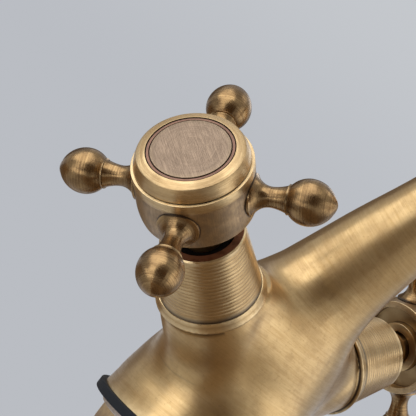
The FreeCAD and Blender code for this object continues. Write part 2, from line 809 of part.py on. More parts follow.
def rib_corners(low):
    """Corners of the turned ribs up the sleeve's tapered side."""
    ribbed = D.bonnet_height - D.rib_margin * 2
    narrowing = D.bonnet_foot_radius - D.bonnet_top_radius
    corners = []
    for number in range(RIB_COUNT * 2 + 1):
        share = number / (RIB_COUNT * 2)
        height = D.rib_margin + ribbed * share
        radius = D.bonnet_foot_radius - narrowing * (height.value / D.bonnet_height.value)
        if number % 2:
            radius = radius - D.rib_depth
        corners.append((radius, low + height))
    return corners


def make_stem(word, side, spin):
    """Turning pieces of the cartridge: ceramic disc, stem, thrust washer, seal ring and clip."""
    level = cartridge_levels()
    frame = valve_placement(side, spin)
    disc_radius = D.disc_bore_radius - D.running_clearance
    disc = new_body(f"{word}_moving_disc", frame)
    turn(disc, "disc", ((ZERO, level.fixed_top), (disc_radius, level.fixed_top),
                        (disc_radius, level.moving_top), (ZERO, level.moving_top)))
    port = sink(disc, "port", lambda sketch: draw_circle(sketch, D.port_radius, D.port_circle),
                level.moving_top, D.disc_thickness + D.overrun)
    repeat_round(disc, "ports", port, PORT_COUNT)
    slot_width = D.tang_width + D.running_clearance * 2
    slot_length = D.tang_length + D.running_clearance * 2
    slot_depth = D.tang_depth + D.running_clearance
    sink(disc, "slot", rectangle(slot_width, slot_length), level.moving_top, slot_depth)
    make_spindle(word, frame, level)
    washer = new_body(f"{word}_thrust_washer", frame)
    turn(washer, "ring", ring(D.stem_radius + D.running_clearance, D.stem_foot_radius,
                              level.foot_top, level.thrust_top - D.running_clearance))
    o_ring = new_body(f"{word}_stem_o_ring", frame)
    draw_o_ring(o_ring, D.stem_radius - D.ring_section_radius, level.hex_top)
    clip = new_body(f"{word}_stem_clip", frame)
    clip_low = level.nose_top + D.running_clearance
    turn(clip, "ring", ring(D.stem_radius - D.clip_groove_depth + D.running_clearance, D.clip_radius,
                            clip_low, clip_low + D.clip_thickness))


def make_spindle(word, frame, level):
    """Stem with a tang for the disc, ring grooves, a square drive and a tapped end."""
    stem = new_body(f"{word}_spindle", frame)
    groove_half = D.ring_section_radius + D.running_clearance
    groove_floor = D.stem_radius - D.ring_section_radius * 2 - D.running_clearance
    clip_low = level.nose_top
    clip_high = level.nose_top + D.clip_thickness + D.running_clearance * 2
    clip_floor = D.stem_radius - D.clip_groove_depth
    boss_low = level.arm_plane - D.boss_drop
    square_low = boss_low - D.square_start_gap
    square_top = level.arm_plane + D.square_reach
    turn(stem, "shaft", (
        (ZERO, level.foot_low), (D.stem_foot_radius, level.foot_low), (D.stem_foot_radius, level.foot_top),
        (D.stem_radius, level.foot_top), (D.stem_radius, level.hex_top - groove_half),
        (groove_floor, level.hex_top - groove_half), (groove_floor, level.hex_top + groove_half),
        (D.stem_radius, level.hex_top + groove_half), (D.stem_radius, clip_low), (clip_floor, clip_low),
        (clip_floor, clip_high), (D.stem_radius, clip_high), (D.stem_radius, square_low),
        (ZERO, square_low)))
    raise_pad(stem, "square", rectangle(D.square_side, D.square_side), square_low, square_top - square_low)
    tang_low = level.moving_top - D.tang_depth
    raise_pad(stem, "tang", rectangle(D.tang_width, D.tang_length), tang_low, level.foot_low - tang_low)
    tapped = D.screw_radius + D.thread_clearance
    sink(stem, "tapped_end", lambda sketch: draw_circle(sketch, tapped), square_top, D.screw_length)


def hub_side(gap):
    """Outer side of the hub from its foot to its flange, grown by a gap."""
    level = cartridge_levels()
    return ((D.hub_foot_radius + gap, level.arm_plane - D.hub_drop, HUB_BEND_SHARE),
            (D.hub_radius + gap, level.arm_plane),
            (D.hub_radius + gap, level.arm_plane + D.hub_rise - D.hub_flange_step))


def make_hub(word, side, spin):
    """Hollow hub bowl with a boss for the square drive and four sockets for the arms."""
    level = cartridge_levels()
    plane = level.arm_plane
    hub = new_body(f"{word}_handle_hub", valve_placement(side, spin))
    foot = plane - D.hub_drop
    ceiling = plane - D.hub_web_below
    floor = plane + D.hub_web_above
    boss_low = plane - D.boss_drop
    flange_low = plane + D.hub_rise
    flange_top = flange_low + D.hub_flange_thickness
    hole = D.screw_radius + D.thread_clearance
    recess = D.cap_skirt_radius + D.thread_clearance
    inner_foot = D.hub_foot_radius - D.hub_wall
    outline = hub_side(ZERO) + (
        (D.hub_flange_radius, flange_low), (D.hub_flange_radius, flange_top), (recess, flange_top),
        (recess, floor), (hole, floor), (hole, boss_low), (D.boss_radius, boss_low),
        (D.boss_radius, ceiling), (inner_foot, ceiling), (inner_foot, foot))
    turn(hub, "bowl", outline)
    socket = D.square_side + D.running_clearance * 2
    socket_top = plane + D.square_reach + D.running_clearance
    sink(hub, "drive_socket", rectangle(socket, socket), socket_top, socket_top - boss_low + D.overrun)
    reach = D.hub_radius + D.overrun
    stud_end = D.stud_start - D.thread_clearance
    along_arm = Placement(Vector(0, 0, plane.value), Rotation(Vector(0, 1, 0), QUARTER_TURN))
    arm_hole = turn(hub, "arm_hole", ((ZERO, stud_end), (D.stud_hole_radius, stud_end),
                                      (D.stud_hole_radius, reach), (ZERO, reach)), along_arm, cut=True)
    repeat_round(hub, "arm_holes", arm_hole, ARM_COUNT)


def make_cap(word, side, spin):
    """Screw-on cap with a rounded side, index disc set in its top and the screw that it hides."""
    level = cartridge_levels()
    frame = valve_placement(side, spin)
    cap_low = level.arm_plane + D.hub_rise + D.hub_flange_thickness + D.cap_seam
    edge = cap_low + D.cap_side_height
    top = edge + D.cap_crown
    floor = top - D.index_thickness
    skirt_low = level.arm_plane + D.hub_web_above + D.cap_skirt_gap
    inner = D.cap_skirt_radius - D.cap_skirt_wall
    cap = new_body(f"{word}_handle_cap", frame)
    turn(cap, "cap", (
        (inner, skirt_low), (D.cap_skirt_radius, skirt_low), (D.cap_skirt_radius, cap_low),
        (D.cap_side_radius, cap_low, CAP_BEND_SHARE), (D.cap_edge_radius, edge), (D.groove_radius, top),
        (D.groove_radius, floor), (ZERO, floor), (ZERO, floor - D.cap_top_thickness),
        (inner, floor - D.cap_top_thickness)))
    disc = new_body(f"{word}_index_disc", frame)
    turn(disc, "disc", ((ZERO, floor), (D.disc_radius, floor), (D.disc_radius, top), (ZERO, top)))
    screw = new_body(f"{word}_handle_screw", frame)
    head_low = level.arm_plane + D.hub_web_above
    head_top = head_low + D.screw_head_height
    tip = head_low - D.screw_length
    turn(screw, "screw", ((ZERO, tip), (D.screw_radius, tip), (D.screw_radius, head_low),
                          (D.screw_head_radius, head_low), (D.screw_head_radius, head_top),
                          (ZERO, head_top)))
    sink(screw, "slot", rectangle(D.screw_slot_width, D.screw_head_radius * 2 + D.overrun), head_top,
         D.screw_slot_depth)


def make_arms(word, side, spin):
    """Four turned arms, each with a flared foot on the hub, a waist, a shoulder and an egg-shaped ball."""
    level = cartridge_levels()
    plane = level.arm_plane
    saddle = ((ZERO, plane - D.hub_drop - D.overrun), (D.hub_foot_radius, plane - D.hub_drop - D.overrun))
    saddle += hub_side(D.seat_clearance)
    saddle += ((D.hub_radius + D.seat_clearance, plane + D.hub_drop), (ZERO, plane + D.hub_drop))
    across = Placement(Vector(), Rotation(Vector(0, 1, 0), -QUARTER_TURN))
    hub_axis = across * Placement(Vector(0, 0, -plane.value), Rotation())
    for number in range(ARM_COUNT):
        angle = FULL_TURN * number / ARM_COUNT
        around = Placement(Vector(), Rotation(Vector(0, 0, 1), angle))
        outwards = Placement(Vector(0, 0, plane.value), Rotation(Vector(0, 1, 0), QUARTER_TURN))
        arm = new_body(f"{word}_arm_{number + 1}", valve_placement(side, spin) * around * outwards)
        turn(arm, "arm", arm_outline())
        turn(arm, "saddle", saddle, hub_axis, cut=True)
        stud_end = D.hub_radius + D.stud_overlap
        turn(arm, "stud", ((ZERO, D.stud_start), (D.stud_radius, D.stud_start),
                           (D.stud_radius, stud_end), (ZERO, stud_end)))


def arm_outline():
    """Half outline of an arm from its flared foot to its tip."""
    flare_start = D.hub_radius - D.flare_bite
    lip_end = flare_start + D.flare_lip
    waist = lip_end + D.flare_length
    shoulder = waist + D.waist_length
    shoulder_end = shoulder + D.shoulder_width
    ball = shoulder_end + D.ball_back_length
    tip = ball + D.ball_front_length
    nose = tip - D.ball_tip_radius * TIP_RISE_SHARE
    return ((ZERO, flare_start), (D.flare_radius, flare_start), (D.flare_radius, lip_end, -FLARE_BEND_SHARE),
            (D.waist_radius, waist, -WAIST_BEND_SHARE), (D.shoulder_root_radius, shoulder),
            (D.shoulder_radius, shoulder), (D.shoulder_radius, shoulder_end),
            (D.ball_neck_radius, shoulder_end, BALL_BACK_BEND_SHARE),
            (D.ball_radius, ball, BALL_FRONT_BEND_SHARE), (D.ball_tip_radius, nose), (ZERO, tip))


def check_document():
    """Stop if any object failed or any sub-part has no sound solid."""
    for thing in doc.Objects:
        if {"Invalid", "Error"} & set(thing.State):
            raise RuntimeError(f"{thing.Name} failed: {thing.State}")
    for body in doc.findObjects("PartDesign::Body"):
        if body.Shape.isNull() or not body.Shape.isValid() or len(body.Shape.Solids) != 1:
            raise RuntimeError(f"{body.Label} has no sound solid")


def write_parts():
    """One file for each sub-part, named by its label."""
    os.makedirs("parts", exist_ok=True)
    for body in doc.findObjects("PartDesign::Body"):
        body.Shape.exportStep(os.path.join("parts", f"{body.Label}.step"))


make_body_casting()
make_clamping_set()
make_aerator()
for word, side, spin in SIDES:
    make_cartridge(word, side, spin)
    make_bonnet(word, side)
    make_stem(word, side, spin)
    make_hub(word, side, spin)
    make_cap(word, side, spin)
    make_arms(word, side, spin)
doc.recompute()
check_document()
write_parts()
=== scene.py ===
import logging
import math
from dataclasses import dataclass, field
from enum import Enum
from typing import Callable, List, Optional, Sequence, Tuple

import bmesh
import bpy
from mathutils import Matrix, Vector
from mathutils.kdtree import KDTree


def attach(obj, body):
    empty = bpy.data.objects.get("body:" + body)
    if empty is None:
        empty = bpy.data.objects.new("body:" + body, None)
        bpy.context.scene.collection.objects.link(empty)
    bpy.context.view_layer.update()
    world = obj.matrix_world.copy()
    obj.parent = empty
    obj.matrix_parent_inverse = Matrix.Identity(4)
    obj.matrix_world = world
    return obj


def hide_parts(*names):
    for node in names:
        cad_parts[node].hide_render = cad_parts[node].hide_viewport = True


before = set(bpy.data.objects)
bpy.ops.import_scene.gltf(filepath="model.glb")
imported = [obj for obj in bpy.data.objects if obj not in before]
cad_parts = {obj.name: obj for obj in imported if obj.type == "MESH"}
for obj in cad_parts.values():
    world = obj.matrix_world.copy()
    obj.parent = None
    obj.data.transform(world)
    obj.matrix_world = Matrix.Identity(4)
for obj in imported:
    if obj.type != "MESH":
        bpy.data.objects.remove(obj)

LOG = logging.getLogger("basin_mixer")

Colour = Tuple[float, float, float]
Triple = Tuple[float, float, float]
Span = Tuple[float, float]
# Dirt and painted shade at a point of a skin, from 0 to 1.
DirtAndShade = Callable[[Vector], float]
Picker = Callable[[Vector], int]

MM = 0.001
FULL_TURN = 2.0 * math.pi
# Sockets of the Mix node that hold colours.
MIX_COLOURS = (6, 7)
MIX_RESULT = 2
# Depth of the fine relief in all finishes.
RELIEF_DEPTH = 0.1 * MM
# Distances in millimetres at which points are one, lie flush, or lie on the same face.
WELD = 1e-4
FLUSH = 0.02
CLOSE = 0.1
# Share of Z in a normal from which a face lies flat.
FLAT = 0.5
# Outline corners that get rounded, edges that break the shading, and edge angles over which wear with a painted
# highlight on outer edges, and dirt with painted shade in inner edges, set in.
ROUNDED_BELOW = math.radians(155.0)
SHARP_ABOVE = math.radians(20.0)
EDGE_MARKS_BETWEEN = (math.radians(8.0), math.radians(22.0))


class Side(Enum):
    """The two valves, as the user faces the spout."""

    LEFT = "left"
    RIGHT = "right"

    @property
    def sign(self) -> int:
        """Direction of the valve's tilt along X."""
        return -1 if self is Side.LEFT else 1


# Turn of each cross handle at rest, in degrees.
REST_SPINS = ((Side.LEFT, 33.2), (Side.RIGHT, 75.0))


class Grain(Enum):
    """How the brushing runs, in the frame in which a piece was turned."""

    AROUND = (0.13, 0.13, 2.4)
    FINE_AROUND = (0.1, 0.1, 5.0)
    ALONG = (2.6, 2.6, 0.22)
    FACE = (0.12, 0.12, 4.2)


class Source(Enum):
    """Where a finish reads its place on the piece."""

    LAY = "lay"
    OBJECT = "object"


def smooth_share(value: float, low: float, high: float) -> float:
    """Share of the way from low to high, eased at both ends."""
    share = min(1.0, max(0.0, (value - low) / (high - low)))
    return share * share * (3.0 - 2.0 * share)


def angle_off(spot: Vector, count: int) -> float:
    """Angle about Z between a point and the nearest of a count of even directions."""
    pitch = FULL_TURN / count
    return (math.atan2(spot.y, spot.x) + 0.5 * pitch) % pitch - 0.5 * pitch


def new_object(name: str, mesh: bmesh.types.BMesh) -> bpy.types.Object:
    """Linked object of a finished mesh.

    Args:
        name: Name of the object and its mesh.
        mesh: Finished skin, which is freed.

    Returns:
        The object at the origin.
    """
    data = bpy.data.meshes.new(name)
    mesh.to_mesh(data)
    mesh.free()
    obj = bpy.data.objects.new(name, data)
    bpy.context.scene.collection.objects.link(obj)
    return obj


class Graph:
    """A node tree with short ways to add and join nodes."""

    def __init__(self, tree: bpy.types.NodeTree) -> None:
        """Keeps the tree that the nodes go into."""
        self.tree = tree

    def add(self, kind: str, **settings: object) -> bpy.types.Node:
        """New node.

        Args:
            kind: Name of the node's type.
            settings: Properties of the node.

        Returns:
            The node.
        """
        node = self.tree.nodes.new(kind)
        for name, value in settings.items():
            setattr(node, name, value)
        return node

    def feed(self, socket: bpy.types.NodeSocket, value: object) -> None:
        """Link a socket to another one, or give it a constant.

        Args:
            socket: Input to feed.
            value: Output to link, or a plain value.
        """
        if isinstance(value, bpy.types.NodeSocket):
            self.tree.links.new(value, socket)
        else:
            socket.default_value = value

    def operate(self, node: bpy.types.Node, first: object, second: object) -> bpy.types.Node:
        """Feed the two inputs of a math node.

        Args:
            node: The math node.
            first: Value of its first input.
            second: Value of its second input.

        Returns:
            The same node.
        """
        self.feed(node.inputs[0], first)
        self.feed(node.inputs[1], second)
        return node

    def math(self, operation: str, first: object, second: object) -> bpy.types.NodeSocket:
        """Result of a math node."""
        return self.operate(self.add("ShaderNodeMath", operation=operation), first, second).outputs[0]

    def vector(self, operation: str, first: object, second: object = (0.0, 0.0, 0.0)) -> bpy.types.Node:
        """Vector math node."""
        return self.operate(self.add("ShaderNodeVectorMath", operation=operation), first, second)

    def ramp(self, value: object, low: float, high: float, to_low: float = 0.0,
             to_high: float = 1.0) -> bpy.types.NodeSocket:
        """Value eased from one range to another.

        Args:
            value: The value.
            low: Start of its range.
            high: End of its range.
            to_low: Result at the start.
            to_high: Result at the end.

        Returns:
            The eased value.
        """
        node = self.add("ShaderNodeMapRange", interpolation_type="SMOOTHSTEP")
        for place, given in enumerate((value, low, high, to_low, to_high)):
            self.feed(node.inputs[place], given)
        return node.outputs[0]

    def noise(self, vector: object, scale: float, detail: float, roughness: float) -> bpy.types.NodeSocket:
        """Grey of a noise texture.

        Args:
            vector: Place on the piece.
            scale: Size of the noise.
            detail: Number of its octaves.
            roughness: Strength of the finer octaves.

        Returns:
            The grey.
        """
        node = self.add("ShaderNodeTexNoise")
        self.feed(node.inputs["Vector"], vector)
        node.inputs["Scale"].default_value = scale
        node.inputs["Detail"].default_value = detail
        node.inputs["Roughness"].default_value = roughness
        return node.outputs[0]

    def mixed(self, first: object, second: object, share: float) -> bpy.types.NodeSocket:
        """Value between two values, by the share of the second."""
        return self.math("ADD", self.math("MULTIPLY", first, 1.0 - share), self.math("MULTIPLY", second, share))

    def blend(self, share: object, first: object, second: object) -> bpy.types.NodeSocket:
        """Colour between two colours.

        Args:
            share: Share of the second colour.
            first: Colour or socket.
            second: Colour or socket.

        Returns:
            The blended colour.
        """
        node = self.add("ShaderNodeMix", data_type="RGBA")
        self.feed(node.inputs[0], share)
        for place, colour in zip(MIX_COLOURS, (first, second)):
            self.feed(node.inputs[place], colour if isinstance(colour, bpy.types.NodeSocket) else (*colour, 1.0))
        return node.outputs[MIX_RESULT]

    def attribute(self, name: str, output: str) -> bpy.types.NodeSocket:
        """A piece's own attribute."""
        return self.add("ShaderNodeAttribute", attribute_name=name).outputs[output]

    def object_place(self) -> bpy.types.NodeSocket:
        """Object coordinates in millimetres.

        Returns:
            The place on the piece.
        """
        mapping = self.add("ShaderNodeMapping")
        self.feed(mapping.inputs["Vector"], self.add("ShaderNodeTexCoord").outputs["Object"])
        mapping.inputs["Scale"].default_value = (1.0 / MM, 1.0 / MM, 1.0 / MM)
        return mapping.outputs[0]

    def group(self, tree: bpy.types.NodeTree, **inputs: object) -> bpy.types.Node:
        """Shared node group with its inputs fed.

        Args:
            tree: The group.
            inputs: Values of its inputs by name.

        Returns:
            The group's node.
        """
        node = self.add("ShaderNodeGroup", node_tree=tree)
        for name, value in inputs.items():
            self.feed(node.inputs[name], value)
        return node

    def press(self, shader: bpy.types.Node, height: bpy.types.NodeSocket, strength: float) -> None:
        """Press a fine relief into a shader's normal.

        Args:
            shader: The shader.
            height: Height of the relief.
            strength: How far it shows.
        """
        bump = self.add("ShaderNodeBump")
        bump.inputs["Strength"].default_value = strength
        bump.inputs["Distance"].default_value = RELIEF_DEPTH
        self.feed(bump.inputs["Height"], height)
        self.feed(shader.inputs["Normal"], bump.outputs[0])


def new_material(name: str) -> Tuple[bpy.types.Material, Graph, bpy.types.Node]:
    """Material with nodes.

    Args:
        name: Name of the material.

    Returns:
        The material, its graph and its shader.
    """
    material = bpy.data.materials.new(name)
    material.use_nodes = True
    return material, Graph(material.node_tree), material.node_tree.nodes["Principled BSDF"]


class Effects:
    """Shared surface effects, each a node group that gives masks."""

    def __init__(self) -> None:
        """Builds the groups once."""
        self.strokes = self._strokes()
        self.patina = self._patina()
        self.edges = self._edges()

    @staticmethod
    def _group(name: str, takes: Sequence[Tuple[str, str]],
               gives: Sequence[str]) -> Tuple[Graph, bpy.types.Node, bpy.types.Node]:
        """Empty group with its sockets.

        Args:
            name: Name of the group.
            takes: Name and kind of each input.
            gives: Name of each output.

        Returns:
            The group's graph, its input node and its output node.
        """
        tree = bpy.data.node_groups.new(name, "ShaderNodeTree")
        for socket, kind in takes:
            tree.interface.new_socket(socket, in_out="INPUT", socket_type=f"NodeSocket{kind}")
        for socket in gives:
            tree.interface.new_socket(socket, in_out="OUTPUT", socket_type="NodeSocketFloat")
        graph = Graph(tree)
        return graph, graph.add("NodeGroupInput"), graph.add("NodeGroupOutput")

    def _strokes(self) -> bpy.types.NodeTree:
        """Fine and broad brush strokes, long one way and short the other.

        Returns:
            The group.
        """
        takes = (("Vector", "Vector"), ("Scale", "Vector"))
        graph, given, out = self._group("Brush strokes", takes, ("Broad", "Fine"))
        stretched = graph.vector("MULTIPLY", given.outputs["Vector"], given.outputs["Scale"]).outputs[0]
        broad = graph.noise(stretched, scale=0.55, detail=4.0, roughness=0.62)
        fine = graph.noise(stretched, scale=1.9, detail=3.0, roughness=0.7)
        graph.feed(out.inputs["Broad"], graph.ramp(broad, low=0.3, high=0.7))
        graph.feed(out.inputs["Fine"], graph.ramp(fine, low=0.32, high=0.68))
        return graph.tree

    def _patina(self) -> bpy.types.NodeTree:
        """Clouds of darker patina and small pits.

        Returns:
            The group.
        """
        takes = (("Vector", "Vector"), ("Size", "Float"))
        graph, given, out = self._group("Patina", takes, ("Cover", "Pits"))
        scaled = graph.vector("SCALE", given.outputs["Vector"])
        graph.feed(scaled.inputs["Scale"], given.outputs["Size"])
        clouds = graph.noise(scaled.outputs[0], scale=1.0, detail=5.0, roughness=0.62)
        pits = graph.noise(scaled.outputs[0], scale=9.0, detail=2.0, roughness=0.6)
        graph.feed(out.inputs["Cover"], graph.ramp(clouds, low=0.4, high=0.66))
        graph.feed(out.inputs["Pits"], graph.ramp(pits, low=0.58, high=0.72))
        return graph.tree

    def _edges(self) -> bpy.types.NodeTree:
        """Bare metal with a painted highlight along worn edges, and dirt with painted shade in the seams, broken up a
        little.

        Returns:
            The group.
        """
        takes = (("Vector", "Vector"), ("Wear", "Float"), ("Crevice", "Float"))
        graph, given, out = self._group("Edge wear and dirt with painted light", takes, ("Bright", "Dark"))
        patches = graph.noise(given.outputs["Vector"], scale=0.5, detail=3.0, roughness=0.6)
        broken = graph.ramp(patches, low=0.25, high=0.6, to_low=0.45, to_high=1.0)
        graph.feed(out.inputs["Bright"], graph.math("MULTIPLY", given.outputs["Wear"], broken))
        graph.feed(out.inputs["Dark"], graph.ramp(given.outputs["Crevice"], low=0.15, high=0.9))
        return graph.tree


@dataclass(frozen=True)
class BrassFinish:
    """Brushed antique brass: three tones, the run of the strokes and how far the patina covers."""

    name: str
    bright: Colour
    middle: Colour
    deep: Colour
    grain: Grain
    roughness: Span = (0.3, 0.44)
    cover: float = 0.35
    cloud_size: float = 0.16
    relief: float = 0.16
    coat: float = 0.45
    stretch: float = 0.6
    cross: float = 0.0
    # Bare-metal colour of worn outer edges, which also paints their highlight.
    worn_and_lit: Colour = (0.85, 0.63, 0.33)
    # Dark colour of seams and creases: dirt and painted shade.
    grime_and_shade: Colour = (0.055, 0.032, 0.016)
    source: Source = Source.LAY
    fine_share: float = 0.45
    stroke_range: Span = (0.1, 0.9)
    cross_turn: float = 59.0
    cross_scale: Triple = (3.2, 0.09, 0.0)
    pit_share: float = 0.8
    worn_and_lit_share: float = 0.85
    patina_haze: float = 0.06
    coat_roughness: float = 0.35
    coat_ior: float = 1.6

    def place(self, graph: Graph) -> bpy.types.NodeSocket:
        """Place on the piece in millimetres."""
        return graph.attribute("lay", "Vector") if self.source is Source.LAY else graph.object_place()

    def stroke_place(self, graph: Graph, place: bpy.types.NodeSocket) -> bpy.types.NodeSocket:
        """Place along the strokes; circles on a face are laid out by their radius.

        Args:
            graph: Nodes of the material.
            place: Place on the piece.

        Returns:
            The place that the strokes are drawn on.
        """
        if self.grain is not Grain.FACE:
            return place
        flat = graph.vector("MULTIPLY", place, (1.0, 1.0, 0.0)).outputs[0]
        radius = graph.vector("LENGTH", flat).outputs["Value"]
        lifted = graph.add("ShaderNodeCombineXYZ")
        graph.feed(lifted.inputs["Z"], radius)
        return graph.vector("ADD", flat, lifted.outputs[0]).outputs[0]

    def brushing(self, graph: Graph, effects: Effects, place: bpy.types.NodeSocket) -> bpy.types.NodeSocket:
        """Brush strokes, with straight lines across them on some pieces.

        Args:
            graph: Nodes of the material.
            effects: The shared node groups.
            place: Place on the piece.

        Returns:
            Height of the strokes, from 0 to 1.
        """
        strokes = graph.group(effects.strokes, Vector=self.stroke_place(graph, place), Scale=self.grain.value)
        brushed = graph.mixed(strokes.outputs["Broad"], strokes.outputs["Fine"], self.fine_share)
        if not self.cross:
            return brushed
        turned = graph.add("ShaderNodeMapping")
        graph.feed(turned.inputs["Vector"], place)
        turned.inputs["Rotation"].default_value = (0.0, 0.0, math.radians(self.cross_turn))
        lines = graph.group(effects.strokes, Vector=turned.outputs[0], Scale=self.cross_scale)
        return graph.mixed(brushed, lines.outputs["Fine"], self.cross)

    def tone(self, graph: Graph, brushed: bpy.types.NodeSocket, patina: bpy.types.Node,
             edges: bpy.types.Node) -> bpy.types.NodeSocket:
        """Colour of the brass under its patina, wear with a painted edge highlight, and dirt with painted shade.

        Args:
            graph: Nodes of the material.
            brushed: Height of the strokes.
            patina: Node of the patina's masks.
            edges: Node of the edges' masks.

        Returns:
            The colour.
        """
        tone = graph.blend(brushed, self.middle, self.bright)
        # The last mask lightens worn edges with bare metal and a painted highlight.
        for mask, share, colour in ((patina.outputs["Cover"], self.cover, self.deep),
                                    (patina.outputs["Pits"], self.cover * self.pit_share, self.deep),
                                    (edges.outputs["Bright"], self.worn_and_lit_share, self.worn_and_lit)):
            tone = graph.blend(graph.math("MULTIPLY", mask, share), tone, colour)
        # Seams and creases darken with dirt and painted shade.
        return graph.blend(edges.outputs["Dark"], tone, self.grime_and_shade)

    def build(self, effects: Effects) -> bpy.types.Material:
        """Material with its nodes.

        Args:
            effects: The shared node groups.

        Returns:
            The new material.
        """
        material, graph, shader = new_material(self.name)
        place = self.place(graph)
        brushed = self.brushing(graph, effects, place)
        patina = graph.group(effects.patina, Vector=place, Size=self.cloud_size)
        edges = graph.group(effects.edges, Vector=place, Wear=graph.attribute("wear_and_highlight", "Fac"),
                            Crevice=graph.attribute("crevice", "Fac"))
        graph.feed(shader.inputs["Base Color"], self.tone(graph, brushed, patina, edges))
        smooth, rough = self.roughness
        gloss = graph.ramp(brushed, *self.stroke_range, to_low=rough, to_high=smooth)
        haze = graph.math("MULTIPLY", patina.outputs["Cover"], self.patina_haze)
        graph.feed(shader.inputs["Roughness"], graph.math("ADD", gloss, haze))
        if self.stretch:
            across = graph.add("ShaderNodeVectorTransform", vector_type="VECTOR", convert_from="OBJECT",
                               convert_to="WORLD")
            graph.feed(across.inputs[0], graph.attribute("sheen", "Vector"))
            graph.feed(shader.inputs["Tangent"], across.outputs[0])
            shader.inputs["Anisotropic"].default_value = self.stretch
        shader.inputs["Metallic"].default_value = 1.0
        shader.inputs["Coat Weight"].default_value = self.coat
        shader.inputs["Coat Roughness"].default_value = self.coat_roughness
        shader.inputs["Coat IOR"].default_value = self.coat_ior
        graph.press(shader, brushed, self.relief)
        return material


@dataclass(frozen=True)
class PlainFinish:
    """Rubber, steel, ceramic, plastic or a near-black painted shade: two close tones in a fine grain."""

    name: str
    light: Colour
    dark: Colour
    roughness: Span
    grain: float
    metallic: float = 0.0
    relief: float = 0.08
    specular: float = 0.5
    speckle_range: Span = (0.3, 0.7)

    def build(self) -> bpy.types.Material:
        """Material with its nodes.

        Returns:
            The new material.
        """
        material, graph, shader = new_material(self.name)
        speckle = graph.noise(graph.object_place(), scale=self.grain, detail=4.0, roughness=0.6)
        share = graph.ramp(speckle, *self.speckle_range)
        graph.feed(shader.inputs["Base Color"], graph.blend(share, self.dark, self.light))
        graph.feed(shader.inputs["Roughness"], graph.ramp(speckle, *self.speckle_range, *self.roughness))
        shader.inputs["Metallic"].default_value = self.metallic
        shader.inputs["Specular IOR Level"].default_value = self.specular
        graph.press(shader, speckle, self.relief)
        return material


class Palette:
    """Every finish of the mixer, built once and shared."""

    CAST = BrassFinish("Brushed cast brass", (0.635, 0.43, 0.195), (0.53, 0.33, 0.125), (0.33, 0.187, 0.063),
                       Grain.AROUND, roughness=(0.28, 0.37), relief=0.13, stretch=0.6)
    TURNED = BrassFinish("Turned brass", (0.66, 0.46, 0.225), (0.44, 0.27, 0.105), (0.29, 0.165, 0.06),
                         Grain.FINE_AROUND, cover=0.3, roughness=(0.26, 0.38), stretch=0.7)
    ARM = BrassFinish("Turned arms", (0.46, 0.285, 0.12), (0.18, 0.096, 0.034), (0.11, 0.057, 0.022),
                      Grain.FINE_AROUND, cover=0.55, cloud_size=0.22, roughness=(0.15, 0.27), coat=0.2,
                      stretch=0.75)
    HUB = BrassFinish("Patinated hub", (0.47, 0.305, 0.148), (0.3, 0.186, 0.087), (0.17, 0.105, 0.055),
                      Grain.ALONG, cover=0.5, cloud_size=0.45, roughness=(0.32, 0.46), stretch=0.0)
    INDEX = BrassFinish("Index disc", (0.345, 0.24, 0.158), (0.168, 0.112, 0.072), (0.17, 0.113, 0.071),
                        Grain.FACE, cover=0.2, cloud_size=0.35, roughness=(0.32, 0.42), cross=0.62, relief=0.3,
                        coat=0.2, stretch=0.0)
    COPPER = BrassFinish("Copper-brown groove", (0.2, 0.08, 0.05), (0.15, 0.06, 0.037), (0.1, 0.04, 0.025),
                         Grain.FINE_AROUND, cover=0.3, roughness=(0.4, 0.5), stretch=0.0)
    # Painted shade: dark brown on the sleeve's top and bore, under the hub.
    SLEEVE_TOP_SHADE = BrassFinish("Dark brown painted shade", (0.12, 0.042, 0.016), (0.075, 0.025, 0.01), (0.04, 0.013, 0.006),
                         Grain.FINE_AROUND, cover=0.4, roughness=(0.5, 0.6), coat=0.0, stretch=0.0,
                         worn_and_lit=(0.42, 0.19, 0.1))
    RAW = BrassFinish("Unpolished brass", (0.46, 0.32, 0.21), (0.36, 0.24, 0.15), (0.25, 0.155, 0.095),
                      Grain.AROUND, cover=0.5, cloud_size=0.25, roughness=(0.42, 0.56), stretch=0.0)
    STEM = BrassFinish("Brown stem brass", (0.5, 0.3, 0.12), (0.36, 0.21, 0.08), (0.22, 0.12, 0.046),
                       Grain.AROUND, cover=0.4, cloud_size=0.3, roughness=(0.4, 0.52), coat=0.0, stretch=0.0,
                       source=Source.OBJECT)
    # Near-black painted shade on the cartridge housing and stem clip, seen in the gap under the hub.
    INNER_SHADE_DARK = PlainFinish("Inner brass painted dark as shade", (0.012, 0.009, 0.007), (0.006, 0.005, 0.004), (0.7, 0.85),
                          grain=1.2, specular=0.12)
    RUBBER = PlainFinish("Black rubber", (0.014, 0.0155, 0.019), (0.008, 0.009, 0.011), (0.6, 0.75),
                         grain=2.2, specular=0.25)
    STEEL = PlainFinish("Plain steel", (0.78, 0.7, 0.64), (0.6, 0.53, 0.48), (0.32, 0.46), grain=0.9, metallic=1.0)
    CERAMIC = PlainFinish("Ceramic", (0.9, 0.89, 0.86), (0.82, 0.81, 0.78), (0.12, 0.2), grain=0.6)
    PLASTIC = PlainFinish("White plastic", (0.84, 0.84, 0.81), (0.74, 0.74, 0.71), (0.38, 0.5), grain=0.8)

    def __init__(self) -> None:
        """Builds all materials."""
        effects = Effects()
        self.cast = self.CAST.build(effects)
        self.turned = self.TURNED.build(effects)
        self.arm = self.ARM.build(effects)
        self.hub = self.HUB.build(effects)
        self.index = self.INDEX.build(effects)
        self.copper = self.COPPER.build(effects)
        self.raw = self.RAW.build(effects)
        # Painted shade for the sleeve's top and bore.
        self.recess = self.SLEEVE_TOP_SHADE.build(effects)
        self.stem = self.STEM.build(effects)
        self.inner_shade_dark = self.INNER_SHADE_DARK.build()
        self.rubber = self.RUBBER.build()
        self.steel = self.STEEL.build()
        self.ceramic = self.CERAMIC.build()
        self.plastic = self.PLASTIC.build()


